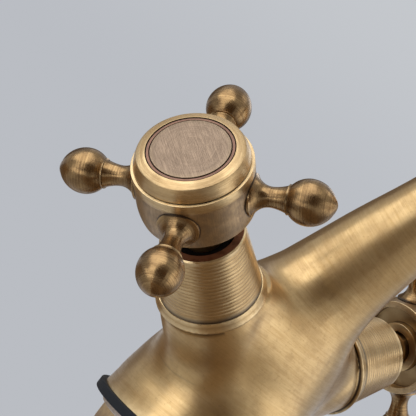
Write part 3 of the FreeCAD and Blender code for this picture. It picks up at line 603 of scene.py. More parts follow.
class Outline:
    """Half outline of a turned piece, drawn in the plane of radius and height, in millimetres."""

    def __init__(self, radius: float, height: float) -> None:
        """Starts the outline at a point.

        Args:
            radius: Distance of the point from the axis.
            height: Height of the point.
        """
        self.mesh = bmesh.new()
        self.start = self.mesh.verts.new((radius, 0.0, height))
        self.tip = self.start

    def to(self, radius: float, height: float, pieces: int = 1) -> "Outline":
        """Straight line to a point.

        Args:
            radius: Distance of the line's end from the axis.
            height: Height of the line's end.
            pieces: Edges along the line.

        Returns:
            The outline itself.
        """
        first = self.tip.co.copy()
        end = Vector((radius, 0.0, height))
        for number in range(1, pieces + 1):
            self.tip = bmesh.ops.extrude_vert_indiv(self.mesh, verts=[self.tip])["verts"][0]
            self.tip.co = first.lerp(end, number / pieces)
        return self

    def arc(self, radius: float, height: float, bend: float, steps: int) -> "Outline":
        """Arc to a point.

        Args:
            radius: Distance of the arc's end from the axis.
            height: Height of the arc's end.
            bend: Tangent of a quarter of the arc's angle, positive to the left.
            steps: Edges along the arc.

        Returns:
            The outline itself.
        """
        chord = Vector((radius, 0.0, height)) - self.tip.co
        swept = 4.0 * math.atan(bend)
        left = Vector((-chord.z, 0.0, chord.x))
        centre = self.tip.co + chord * 0.5 + left * (0.5 / math.tan(swept / 2.0))
        made = bmesh.ops.spin(self.mesh, geom=[self.tip], cent=centre, axis=(0.0, -1.0, 0.0), angle=swept, steps=steps)
        self.tip = next(part for part in made["geom_last"] if isinstance(part, bmesh.types.BMVert))
        return self

    def close(self) -> "Outline":
        """Edge back to the first point."""
        self.mesh.edges.new((self.tip, self.start))
        return self

    def soften(self, width: float, segments: int = 3) -> "Outline":
        """Round every corner of the outline off the axis.

        Args:
            width: Distance from the corner at which the rounding starts.
            segments: Edges along the rounding.

        Returns:
            The outline itself.
        """
        corners = []
        for vert in self.mesh.verts:
            if len(vert.link_edges) == 2 and vert.co.x > width:
                first, second = (edge.other_vert(vert).co - vert.co for edge in vert.link_edges)
                if first.angle(second) < ROUNDED_BELOW:
                    corners.append(vert)
        bmesh.ops.bevel(self.mesh, geom=corners, offset=width, offset_type="OFFSET", segments=segments, profile=0.5,
                        affect="VERTICES", clamp_overlap=True, material=-1)
        return self

    def turned(self, steps: int) -> bmesh.types.BMesh:
        """Skin of the full turn about the axis.

        Args:
            steps: Faces round the turn.

        Returns:
            The closed skin.
        """
        bmesh.ops.spin(self.mesh, geom=self.mesh.verts[:] + self.mesh.edges[:], cent=(0.0, 0.0, 0.0),
                       axis=(0.0, 0.0, 1.0), angle=FULL_TURN, steps=steps, use_merge=True)
        bmesh.ops.remove_doubles(self.mesh, verts=self.mesh.verts, dist=WELD)
        bmesh.ops.recalc_face_normals(self.mesh, faces=self.mesh.faces)
        return self.mesh


@dataclass(frozen=True)
class Piece:
    """How a finished mesh joins the model: its name, the nodes it stands for and its body, with a slot name kept
    beside them.
    """

    name: str
    nodes: Tuple[str, ...]
    body: str
    slot: str

    def settle(self, mesh: bmesh.types.BMesh, place: Matrix, materials: Sequence[bpy.types.Material],
               dirt_and_shade: Optional[DirtAndShade] = None, pick: Optional[Picker] = None, lay: bool = True,
               dirt_and_shade_share: float = 1.0, wear_and_highlight_share: float = 1.0) -> None:
        """Make the mesh an object of the model, in the row frame.

        Args:
            mesh: Skin in millimetres, in the piece's own frame.
            place: Frame of the piece in the row frame, in millimetres.
            materials: Finishes of the piece.
            dirt_and_shade: Dirt and painted shade at a point of the skin, from 0 to 1.
            pick: Number of the finish at a face's middle.
            lay: Whether the strokes run round the skin's own Z axis.
            dirt_and_shade_share: Share of the dirt and painted shade kept in the inner edges.
            wear_and_highlight_share: Share of the wear and painted highlight kept on the outer edges.
        """
        if lay:
            self.lay_strokes(mesh, place.to_3x3())
        self.mark(mesh, dirt_and_shade, dirt_and_shade_share, wear_and_highlight_share)
        for face in mesh.faces:
            face.material_index = pick(face.calc_center_median()) if pick else 0
            face.smooth = True
        mesh.transform(Matrix.Scale(MM, 4) @ place)
        obj = new_object(self.name, mesh)
        obj.data.set_sharp_from_angle(angle=SHARP_ABOVE)
        for material in materials:
            obj.data.materials.append(material)
        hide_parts(*self.nodes)
        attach(obj, self.body)
        LOG.info("%s: %d faces", self.name, len(obj.data.polygons))

    @staticmethod
    def lay_strokes(mesh: bmesh.types.BMesh, turned: Matrix) -> None:
        """Store each point's place and the way across the strokes, which run round the Z axis.

        Args:
            mesh: Skin in the piece's own frame.
            turned: Turn of that frame in the row frame.
        """
        mesh.normal_update()
        layer = mesh.verts.layers.float_vector.new("lay")
        sheen = mesh.verts.layers.float_vector.new("sheen")
        for vert in mesh.verts:
            vert[layer] = vert.co
            vert[sheen] = turned @ vert.normal.cross(Vector((-vert.co.y, vert.co.x, 0.0)).normalized())

    @staticmethod
    def mark(mesh: bmesh.types.BMesh, dirt_and_shade: Optional[DirtAndShade], dirt_and_shade_share: float, wear_and_highlight_share: float) -> None:
        """Store wear with a painted highlight on the outer edges, and dirt with painted shade in the inner ones, on
        the points.

        Args:
            mesh: Skin in the piece's own frame.
            dirt_and_shade: Dirt and painted shade at a point of the skin, from 0 to 1.
            dirt_and_shade_share: Share of the dirt and painted shade kept in the inner edges.
            wear_and_highlight_share: Share of the wear and painted highlight kept on the outer edges.
        """
        wear_and_highlight = mesh.verts.layers.float.new("wear_and_highlight")
        crevice = mesh.verts.layers.float.new("crevice")
        for edge in mesh.edges:
            if len(edge.link_faces) == 2:
                angle = edge.calc_face_angle_signed(0.0)
                # Outer edges get wear with a painted highlight, inner edges dirt with painted shade.
                layer, kept = (wear_and_highlight, wear_and_highlight_share) if angle > 0.0 else (crevice, dirt_and_shade_share)
                share = smooth_share(abs(angle), *EDGE_MARKS_BETWEEN) * kept
                for vert in edge.verts:
                    vert[layer] = max(vert[layer], share)
        if dirt_and_shade:
            for vert in mesh.verts:
                vert[crevice] = max(vert[crevice], dirt_and_shade(vert.co))


@dataclass(frozen=True)
class Valve:
    """Frame of one valve: axis tilted to its side from the point where both axes meet."""

    side: Side
    height: float = 17.9
    tilt: float = 59.6
    collar_start: float = 36.4
    collar_top: float = 38.8
    collar_radius: float = 13.0
    plane: float = 70.7

    def matrix(self, spin: float = 0.0) -> Matrix:
        """Frame with Z along the valve's axis, in millimetres."""
        tilted = Matrix.Rotation(self.side.sign * math.radians(self.tilt), 4, "Y")
        return Matrix.Translation((0.0, 0.0, self.height)) @ tilted @ Matrix.Rotation(math.radians(spin), 4, "Z")


@dataclass
class BodySkin:
    """Cast body with its spout: the CAD skin made smooth, with strokes that follow the spout."""

    palette: Palette
    lean_start: float = 13.0
    lean_radius: float = 155.0
    lean_angle: float = 21.0
    rise_length: float = 39.0
    crook_radius: float = 45.0
    drop_angle: float = 165.0
    tail_length: float = 14.0
    step: float = 0.5
    trunk_lengths: Tuple[float, ...] = (2.4, 9.64, 18.76, 29.88, 45.0, 57.81, 70.62, 86.48, 106.0)
    trunk_radii: Tuple[float, ...] = (24.8, 23.8, 21.9, 18.65, 15.25, 12.7, 11.1, 9.33, 8.6)
    neck_radius: float = 12.5
    neck_root: float = 19.0
    crook_blend: float = 18.0
    under_blend: float = 7.0
    upper_range: Span = (-0.3, 0.8)
    zone_reach: float = 45.0
    zone_top: float = 90.0
    foot_range: Span = (2.6, 8.0)
    collar_range: Span = (0.2, 3.0)
    full_nearness: float = 0.3
    projections: int = 4
    longest_edge: float = 1.5
    splits: int = 3
    skin_depth: float = 1.3
    collar_margin: float = 0.05
    cad_weld: float = 1e-6
    spots: List[Tuple[float, Vector, float]] = field(init=False, repr=False)
    tree: KDTree = field(init=False, repr=False)
    necks: List[Tuple[int, Matrix, Matrix]] = field(init=False, repr=False)

    def lean(self, length: float) -> float:
        """Lean of the spout's centreline from upright.

        Args:
            length: Length along the centreline.

        Returns:
            The lean in radians.
        """
        first = math.radians(self.lean_angle)
        last = math.radians(self.drop_angle)
        leaning = min(first, max(0.0, length - self.lean_start) / self.lean_radius)
        crook_start = self.lean_start + first * self.lean_radius + self.rise_length
        return min(last, leaning + max(0.0, length - crook_start) / self.crook_radius)

    @staticmethod
    def heading(lean: float) -> Vector:
        """Way along the spout at a lean."""
        return Vector((0.0, -math.sin(lean), math.cos(lean)))

    def centreline(self) -> List[Tuple[float, Vector, float]]:
        """Spout's centreline at short steps.

        Returns:
            Length, point and lean at each step.
        """
        first = math.radians(self.lean_angle)
        turning = math.radians(self.drop_angle) - first
        total = self.lean_start + first * self.lean_radius + self.rise_length + turning * self.crook_radius
        spots = []
        spot = Vector((0.0, 0.0, 0.0))
        for number in range(int((total + self.tail_length) / self.step)):
            length = number * self.step
            lean = self.lean(length + self.step / 2.0)
            spots.append((length, spot.copy(), lean))
            spot += self.heading(lean) * self.step
        return spots

    def prepare(self) -> None:
        """Keep the centreline, a tree that finds its nearest point, and the frames of both necks."""
        self.spots = self.centreline()
        self.tree = KDTree(len(self.spots))
        for number, (_, spot, _) in enumerate(self.spots):
            self.tree.insert(spot, number)
        self.tree.balance()
        frames = [(side.sign, Valve(side).matrix()) for side in Side]
        self.necks = [(sign, matrix.to_3x3(), matrix.inverted()) for sign, matrix in frames]

    def trunk_radius(self, length: float) -> float:
        """Radius of the trunk, eased through its sections.

        Args:
            length: Length along the centreline.

        Returns:
            The radius.
        """
        places, radii = self.trunk_lengths, self.trunk_radii
        last = len(places) - 1
        place = min(places[-1], max(places[0], length))
        number = min(last - 1, max(0, sum(1 for other in places if other <= place) - 1))
        slopes = []
        for spot in (number, number + 1):
            before, after = max(0, spot - 1), min(last, spot + 1)
            slopes.append((radii[after] - radii[before]) / (places[after] - places[before]))
        width = places[number + 1] - places[number]
        share = (place - places[number]) / width
        rest = 1.0 - share
        start = radii[number] * (1.0 + 2.0 * share) * rest * rest
        end = radii[number + 1] * share * share * (3.0 - 2.0 * share)
        return start + end + width * share * rest * (slopes[0] * rest - slopes[1] * share)

    def over_blend(self, spot: Vector) -> Tuple[float, Vector, float, float, float]:
        """Where a point lies over the skin in which the necks flow into the trunk.

        Args:
            spot: Point in millimetres.

        Returns:
            Height over the blended skin, the way out of it, the nearness to the seam of trunk and neck,
            the height over the plain skin and the distance along the valve's axis.
        """
        _, number, _ = self.tree.find(spot)
        length, middle, lean = self.spots[number]
        axis = self.heading(lean)
        along = (spot - middle).dot(axis)
        from_line = spot - middle - axis * along
        height = from_line.length - self.trunk_radius(length + along)
        way = from_line.normalized()
        trunk, plain, near, reach = height, height, 0.0, 0.0
        for sign, turned, inverse in self.necks:
            local = inverse @ spot
            upper = smooth_share(-sign * local.x / local.to_2d().length, *self.upper_range)
            width = self.under_blend + (self.crook_blend - self.under_blend) * upper
            from_axis = local - Vector((0.0, 0.0, max(self.neck_root, local.z)))
            neck = from_axis.length - self.neck_radius
            ways = [way, (turned @ from_axis).normalized()]
            if neck < height:
                ways.reverse()
            share = max(0.0, 1.0 - abs(height - neck) / width)
            way = ways[0].lerp(ways[1], share / 2.0).normalized()
            height = min(height, neck) - share * share * width / 4.0
            plain, reach = min(plain, neck), max(reach, local.z)
            near = max(near, 1.0 - abs(trunk - neck) / self.crook_blend)
        return height, way, near, plain, reach

    def in_zone(self, spot: Vector) -> bool:
        """Whether a point lies where the blend may reach."""
        return abs(spot.x) < self.zone_reach and self.foot_range[0] < spot.z < self.zone_top

    def near_neck(self, spot: Vector) -> bool:
        """Whether a point lies on the outer skin near the seam of trunk and neck.

        Args:
            spot: Point in millimetres.

        Returns:
            Whether the blend may move it.
        """
        if not self.in_zone(spot):
            return False
        _, _, near, plain, _ = self.over_blend(spot)
        return near > 0.0 and plain > -self.skin_depth

    def refine(self, mesh: bmesh.types.BMesh) -> None:
        """Split the long edges of the skin round the valve necks.

        Args:
            mesh: Skin of the body.
        """
        for _ in range(self.splits):
            long = [edge for edge in mesh.edges if edge.calc_length() > self.longest_edge
                    and all(self.near_neck(vert.co) for vert in edge.verts)]
            bmesh.ops.subdivide_edges(mesh, edges=long, cuts=1)
            bmesh.ops.triangulate(mesh, faces=[face for face in mesh.faces if len(face.verts) > 3])

    def flow(self, mesh: bmesh.types.BMesh) -> None:
        """Let the valve necks flow into the trunk, widely in the crook and closely underneath.

        Args:
            mesh: Skin of the body.
        """
        start = Valve(Side.LEFT).collar_start
        moved = {}
        for vert in mesh.verts:
            if self.in_zone(vert.co):
                _, _, near, plain, reach = self.over_blend(vert.co)
                held = smooth_share(near, 0.0, self.full_nearness) * smooth_share(start - reach, *self.collar_range)
                held *= smooth_share(vert.co.z, *self.foot_range)
                if plain > -self.skin_depth and held > 0.0:
                    moved[vert] = held
        for vert, held in moved.items():
            spot = vert.co.copy()
            for _ in range(self.projections):
                height, way, *_ = self.over_blend(spot)
                spot -= way * height
            vert.co = vert.co.lerp(spot, held)

    def straighten(self, mesh: bmesh.types.BMesh) -> None:
        """Keep each point's place along and across the spout, and along the valve on a collar.

        Args:
            mesh: Skin of the body.
        """
        valves = [Valve(side) for side in Side]
        layer = mesh.verts.layers.float_vector.new("lay")
        sheen = mesh.verts.layers.float_vector.new("sheen")
        for vert in mesh.verts:
            _, number, _ = self.tree.find(vert.co)
            length, spot, lean = self.spots[number]
            away = vert.co - spot
            along = -away.y * math.sin(lean) + away.z * math.cos(lean)
            across = away.y * math.cos(lean) + away.z * math.sin(lean)
            vert[layer] = (vert.co.x, across, length + along)
            axis = self.heading(lean)
            for valve, (_, turned, inverse) in zip(valves, self.necks):
                local = inverse @ vert.co
                if self.on_collar(valve, local):
                    vert[layer] = local
                    axis = turned @ Vector((0.0, 0.0, 1.0))
            vert[sheen] = axis

    def on_collar(self, valve: Valve, local: Vector) -> bool:
        """Whether a point in the valve's frame lies on the turned collar."""
        return local.z > valve.collar_start - self.collar_margin and local.to_2d().length < valve.collar_radius + CLOSE

    def pick(self, middle: Vector) -> int:
        """The turned finish on the collars, the cast one elsewhere."""
        return int(any(self.on_collar(Valve(side), inverse @ middle)
                       for side, (_, _, inverse) in zip(Side, self.necks)))

    def build(self) -> None:
        """Copy the casting's skin, weld it, lay out the strokes and finish it."""
        mesh = bmesh.new()
        mesh.from_mesh(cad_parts["body_casting"].data)
        bmesh.ops.remove_doubles(mesh, verts=mesh.verts, dist=self.cad_weld)
        mesh.transform(Matrix.Scale(1.0 / MM, 4))
        self.prepare()
        self.refine(mesh)
        self.flow(mesh)
        self.straighten(mesh)
        piece = Piece("body_casting_skin", ("body_casting",), "faucet_body", "antique_brass")
        piece.settle(mesh, Matrix.Identity(4), (self.palette.cast, self.palette.turned), pick=self.pick, lay=False)


@dataclass
class DeckFittings:
    """Gasket, clamp washer, notched back nut and threaded shank under the foot."""

    palette: Palette
    bore: float = 16.58
    ring_steps: int = 144
    round_steps: int = 6
    gasket_radius: float = 26.2
    gasket_top: float = 2.4
    gasket_round: float = 0.28
    lip_bore: float = 23.6
    lip_height: float = 0.6
    washer_radius: float = 23.0
    washer_low: float = -1.7
    washer_round: float = 0.35
    nut_radius: float = 21.8
    nut_low: float = -10.7
    nut_round: float = 0.4
    nut_round_steps: int = 2
    nut_corner: float = 50.0
    notch_count: int = 6
    notch_depth: float = 2.0
    notch_height: float = 4.0
    notch_steps: int = 6
    shank_radius: float = 16.5
    shank_bore: float = 13.0
    shank_low: float = -46.0
    shank_top: float = 12.2
    nose_chamfer: float = 1.0
    pitch: float = 2.3
    crest_rise: float = 0.1
    crest_start: float = 0.46
    crest_end: float = 0.64
    thread_depth: float = 0.9
    thread_low: float = -45.0
    thread_top: float = -1.3
    thread_runout: float = 0.3
    thread_steps: int = 72
    spare_turns: int = 3
    weld: float = 1e-3
    cut_weld: float = 1e-5

    def gasket(self) -> None:
        """Rubber ring with a lip under its rim."""
        outline = Outline(self.bore, self.lip_height).to(self.lip_bore, self.lip_height).to(self.lip_bore, 0.0)
        outline.to(self.gasket_radius, 0.0).to(self.gasket_radius, self.gasket_top).to(self.bore, self.gasket_top)
        mesh = outline.close().soften(self.gasket_round, self.round_steps).turned(self.ring_steps)
        piece = Piece("base_gasket_skin", ("base_gasket",), "faucet_body", "black_rubber")
        piece.settle(mesh, Matrix.Identity(4), (self.palette.rubber,))

    def washer(self) -> None:
        """Flat clamp washer with rolled edges."""
        outline = Outline(self.bore, self.washer_low).to(self.washer_radius, self.washer_low)
        outline.to(self.washer_radius, self.lip_height).to(self.bore, self.lip_height)
        mesh = outline.close().soften(self.washer_round, self.round_steps).turned(self.ring_steps)
        piece = Piece("clamp_washer_skin", ("clamp_washer",), "back_nut", "steel")
        piece.settle(mesh, Matrix.Identity(4), (self.palette.steel,))

    def notch_faces(self, mesh: bmesh.types.BMesh, radius: float, shoulder: float) -> List[bmesh.types.BMFace]:
        """Faces in the angles of the nut's notches.

        Args:
            mesh: Skin of the nut.
            radius: Distance from the axis outside which they lie.
            shoulder: Height below which they lie.

        Returns:
            The faces.
        """
        half = 0.5 * self.notch_steps * FULL_TURN / self.ring_steps
        found = []
        for face in mesh.faces:
            middle = face.calc_center_median()
            within = abs(angle_off(middle, self.notch_count)) < half
            if within and middle.z < shoulder and middle.to_2d().length > radius:
                found.append(face)
        return found

    def nut(self) -> None:
        """Round nut with spanner notches in its lower edge."""
        low = self.nut_low
        ledge = self.nut_radius - self.notch_depth
        shoulder = low + self.notch_height
        outline = Outline(self.bore, low).to(ledge, low).to(self.nut_radius, low).to(self.nut_radius, shoulder)
        outline.to(self.nut_radius, self.washer_low).to(self.bore, self.washer_low)
        mesh = outline.close().turned(self.ring_steps)
        lower = self.notch_faces(mesh, ledge, shoulder)
        sides = [face for face in lower if abs(face.normal.z) < FLAT]
        floors = [face for face in lower if abs(face.normal.z) > FLAT]
        bmesh.ops.delete(mesh, geom=sides, context="FACES")
        raised = bmesh.ops.extrude_face_region(mesh, geom=floors)["geom"]
        tops = [part for part in raised if isinstance(part, bmesh.types.BMVert)]
        bmesh.ops.delete(mesh, geom=[face for face in floors if face.is_valid], context="FACES_ONLY")
        bmesh.ops.translate(mesh, verts=tops, vec=(0.0, 0.0, self.notch_height))
        outer = self.notch_faces(mesh, self.nut_radius - CLOSE, shoulder)
        bmesh.ops.delete(mesh, geom=outer, context="FACES")
        bmesh.ops.remove_doubles(mesh, verts=mesh.verts, dist=self.weld)
        bmesh.ops.recalc_face_normals(mesh, faces=mesh.faces)
        corners = [edge for edge in mesh.edges if edge.calc_face_angle(0.0) > math.radians(self.nut_corner)]
        bmesh.ops.bevel(mesh, geom=corners, offset=self.nut_round, offset_type="OFFSET", segments=self.nut_round_steps,
                        profile=0.5, affect="EDGES", clamp_overlap=True, material=-1)
        piece = Piece("back_nut_skin", ("back_nut",), "back_nut", "raw_brass")
        piece.settle(mesh, Matrix.Identity(4), (self.palette.raw,))

    def helix(self) -> bmesh.types.BMesh:
        """Screw thread, longer than needed at both ends.

        Returns:
            The open skin of the thread.
        """
        root = self.shank_radius - self.thread_depth
        turns = math.ceil((self.thread_top - self.thread_low) / self.pitch) + self.spare_turns
        low = self.thread_low - 2.0 * self.pitch
        outline = Outline(root, low)
        for turn in range(turns):
            level = low + turn * self.pitch
            outline.to(root, level + self.crest_rise * self.pitch)
            outline.to(self.shank_radius, level + self.crest_start * self.pitch)
            outline.to(self.shank_radius, level + self.crest_end * self.pitch).to(root, level + self.pitch)
        mesh = outline.mesh
        bmesh.ops.spin(mesh, geom=mesh.verts[:] + mesh.edges[:], cent=(0.0, 0.0, 0.0), axis=(0.0, 0.0, 1.0),
                       dvec=(0.0, 0.0, self.pitch / self.thread_steps), angle=FULL_TURN, steps=self.thread_steps)
        bmesh.ops.remove_doubles(mesh, verts=mesh.verts, dist=self.weld)
        return mesh

    def shank(self) -> None:
        """Hollow shank with a screw thread between plain ends."""
        mesh = self.helix()
        rims = []
        for level, way in ((self.thread_low, -1.0), (self.thread_top, 1.0)):
            cut = bmesh.ops.bisect_plane(mesh, geom=mesh.verts[:] + mesh.edges[:] + mesh.faces[:], dist=self.cut_weld,
                                         plane_co=(0.0, 0.0, level), plane_no=(0.0, 0.0, way), clear_outer=True)
            rims.append([part for part in cut["geom_cut"] if isinstance(part, bmesh.types.BMEdge)])
        course = [rims[1]]
        for radius, level in ((self.shank_radius, self.thread_top + self.thread_runout),
                              (self.shank_radius, self.shank_top),
                              (self.shank_bore, self.shank_top),
                              (self.shank_bore, self.shank_low),
                              (self.shank_radius - self.nose_chamfer, self.shank_low)):
            verts = bmesh.ops.create_circle(mesh, cap_ends=False, radius=radius, segments=self.thread_steps,
                                            matrix=Matrix.Translation((0.0, 0.0, level)))["verts"]
            course.append(list({edge for vert in verts for edge in vert.link_edges}))
        course.append([edge for edge in rims[0] if edge.is_valid])
        for first, second in zip(course, course[1:]):
            bmesh.ops.bridge_loops(mesh, edges=first + second)
        bmesh.ops.recalc_face_normals(mesh, faces=mesh.faces)
        piece = Piece("threaded_shank_skin", ("threaded_shank",), "faucet_body", "raw_brass")
        piece.settle(mesh, Matrix.Identity(4), (self.palette.raw,), dirt_and_shade_share=0.5)

    def build(self) -> None:
        """All fittings under the foot."""
        self.gasket()
        self.washer()
        self.nut()
        self.shank()


@dataclass
class Outlet:
    """Aerator housing with a knurled rim in the spout's end."""

    palette: Palette
    body: BodySkin
    radius: float = 10.5
    bore: float = 8.8
    lip_bore: float = 8.0
    depth: float = 9.0
    rim_radius: float = 12.0
    rim_height: float = 3.2
    back_chamfer: float = 0.35
    front_chamfer: float = 0.6
    lip_height: float = 0.8
    knurls: int = 60
    knurl_margin: float = 0.22
    knurl_depth: float = 0.28

    def matrix(self) -> Matrix:
        """Frame at the spout's end with Z along the flow."""
        _, spot, lean = self.body.spots[-1]
        return Matrix.Translation(spot + self.body.heading(lean) * self.body.step) @ Matrix.Rotation(lean, 4, "X")

    def build(self) -> None:
        """Turn the housing and press the knurl into its rim."""
        low = self.rim_height - self.lip_height
        outline = Outline(self.bore, -self.depth).to(self.radius, -self.depth).to(self.radius, 0.0)
        outline.to(self.rim_radius - self.back_chamfer, 0.0).to(self.rim_radius, self.back_chamfer)
        outline.to(self.rim_radius, self.rim_height - self.front_chamfer)
        outline.to(self.rim_radius - self.front_chamfer, self.rim_height)
        outline.to(self.lip_bore, self.rim_height).to(self.lip_bore, low).to(self.bore, low)
        mesh = outline.close().turned(self.knurls)
        rim = [face for face in mesh.faces if abs(face.normal.z) < FLAT
               and face.calc_center_median().to_2d().length > self.rim_radius - CLOSE]
        bmesh.ops.inset_individual(mesh, faces=rim, thickness=self.knurl_margin, depth=-self.knurl_depth,
                                   use_even_offset=True)
        piece = Piece("aerator_housing_skin", ("aerator_housing",), "faucet_body", "antique_brass")
        piece.settle(mesh, self.matrix(), (self.palette.turned,), dirt_and_shade_share=0.25, wear_and_highlight_share=0.5)


@dataclass
class BonnetSleeve:
    """Tapered sleeve over a cartridge, with soft turned ribs."""

    palette: Palette
    side: Side
    height: float = 17.9
    foot_radius: float = 12.0
    top_radius: float = 9.7
    top_chamfer: float = 0.3
    foot_bore: float = 10.1
    inner: float = 8.5
    bore: float = 7.6
    lip_height: float = 2.2
    step: float = 5.7
    rib_count: int = 16
    rib_depth: float = 0.25
    rib_margin: float = 1.3
    rib_bend: float = 0.22
    rib_steps: int = 6
    steps: int = 160
    seam_dark: float = 0.9
    seam_range: Span = (0.05, 0.3)

    @property
    def valve(self) -> Valve:
        """Valve that the sleeve covers."""
        return Valve(self.side)

    def side_radius(self, height: float) -> float:
        """Radius of the tapered side at a height above the foot."""
        return self.foot_radius - (self.foot_radius - self.top_radius) * height / self.height

    def valley_radius(self, height: float) -> float:
        """Radius between two ribs at a height above the foot."""
        return self.side_radius(height) - self.rib_depth / 2.0

    def pick(self, spot: Vector) -> int:
        """Dark brown painted shade on the flat top and inside, turned brass elsewhere."""
        top = self.valve.collar_top + self.height
        return int(spot.z > top - FLUSH or spot.to_2d().length < self.inner + CLOSE)

    def dirt_and_shade(self, spot: Vector) -> float:
        """Dirt and painted shade in the seam at the sleeve's foot, fading up from the collar."""
        return self.seam_dark * (1.0 - smooth_share(spot.z - self.valve.collar_top, *self.seam_range))

    def build(self) -> None:
        """Turn the ribbed sleeve."""
        low = self.valve.collar_top
        top = low + self.height
        outline = Outline(self.bore, top - self.lip_height).to(self.inner, top - self.lip_height)
        outline.to(self.inner, low + self.step).to(self.foot_bore, low + self.step).to(self.foot_bore, low)
        outline.to(self.foot_radius, low)
        pitch = (self.height - 2.0 * self.rib_margin) / self.rib_count
        valley = self.rib_margin
        outline.to(self.valley_radius(valley), low + valley)
        for _ in range(self.rib_count):
            valley += pitch
            outline.arc(self.valley_radius(valley), low + valley, bend=self.rib_bend, steps=self.rib_steps)
        outline.to(self.side_radius(self.height - self.top_chamfer), top - self.top_chamfer)
        outline.to(self.top_radius - self.top_chamfer, top).to(self.bore, top)
        mesh = outline.close().turned(self.steps)
        name = self.side.value
        piece = Piece(f"{name}_bonnet_skin", (f"{name}_bonnet_sleeve",), "faucet_body", "antique_brass")
        # The top and inside of the sleeve carry a dark brown painted shade.
        piece.settle(mesh, self.valve.matrix(), (self.palette.turned, self.palette.recess), dirt_and_shade_share=0.3, pick=self.pick,
                     dirt_and_shade=self.dirt_and_shade)


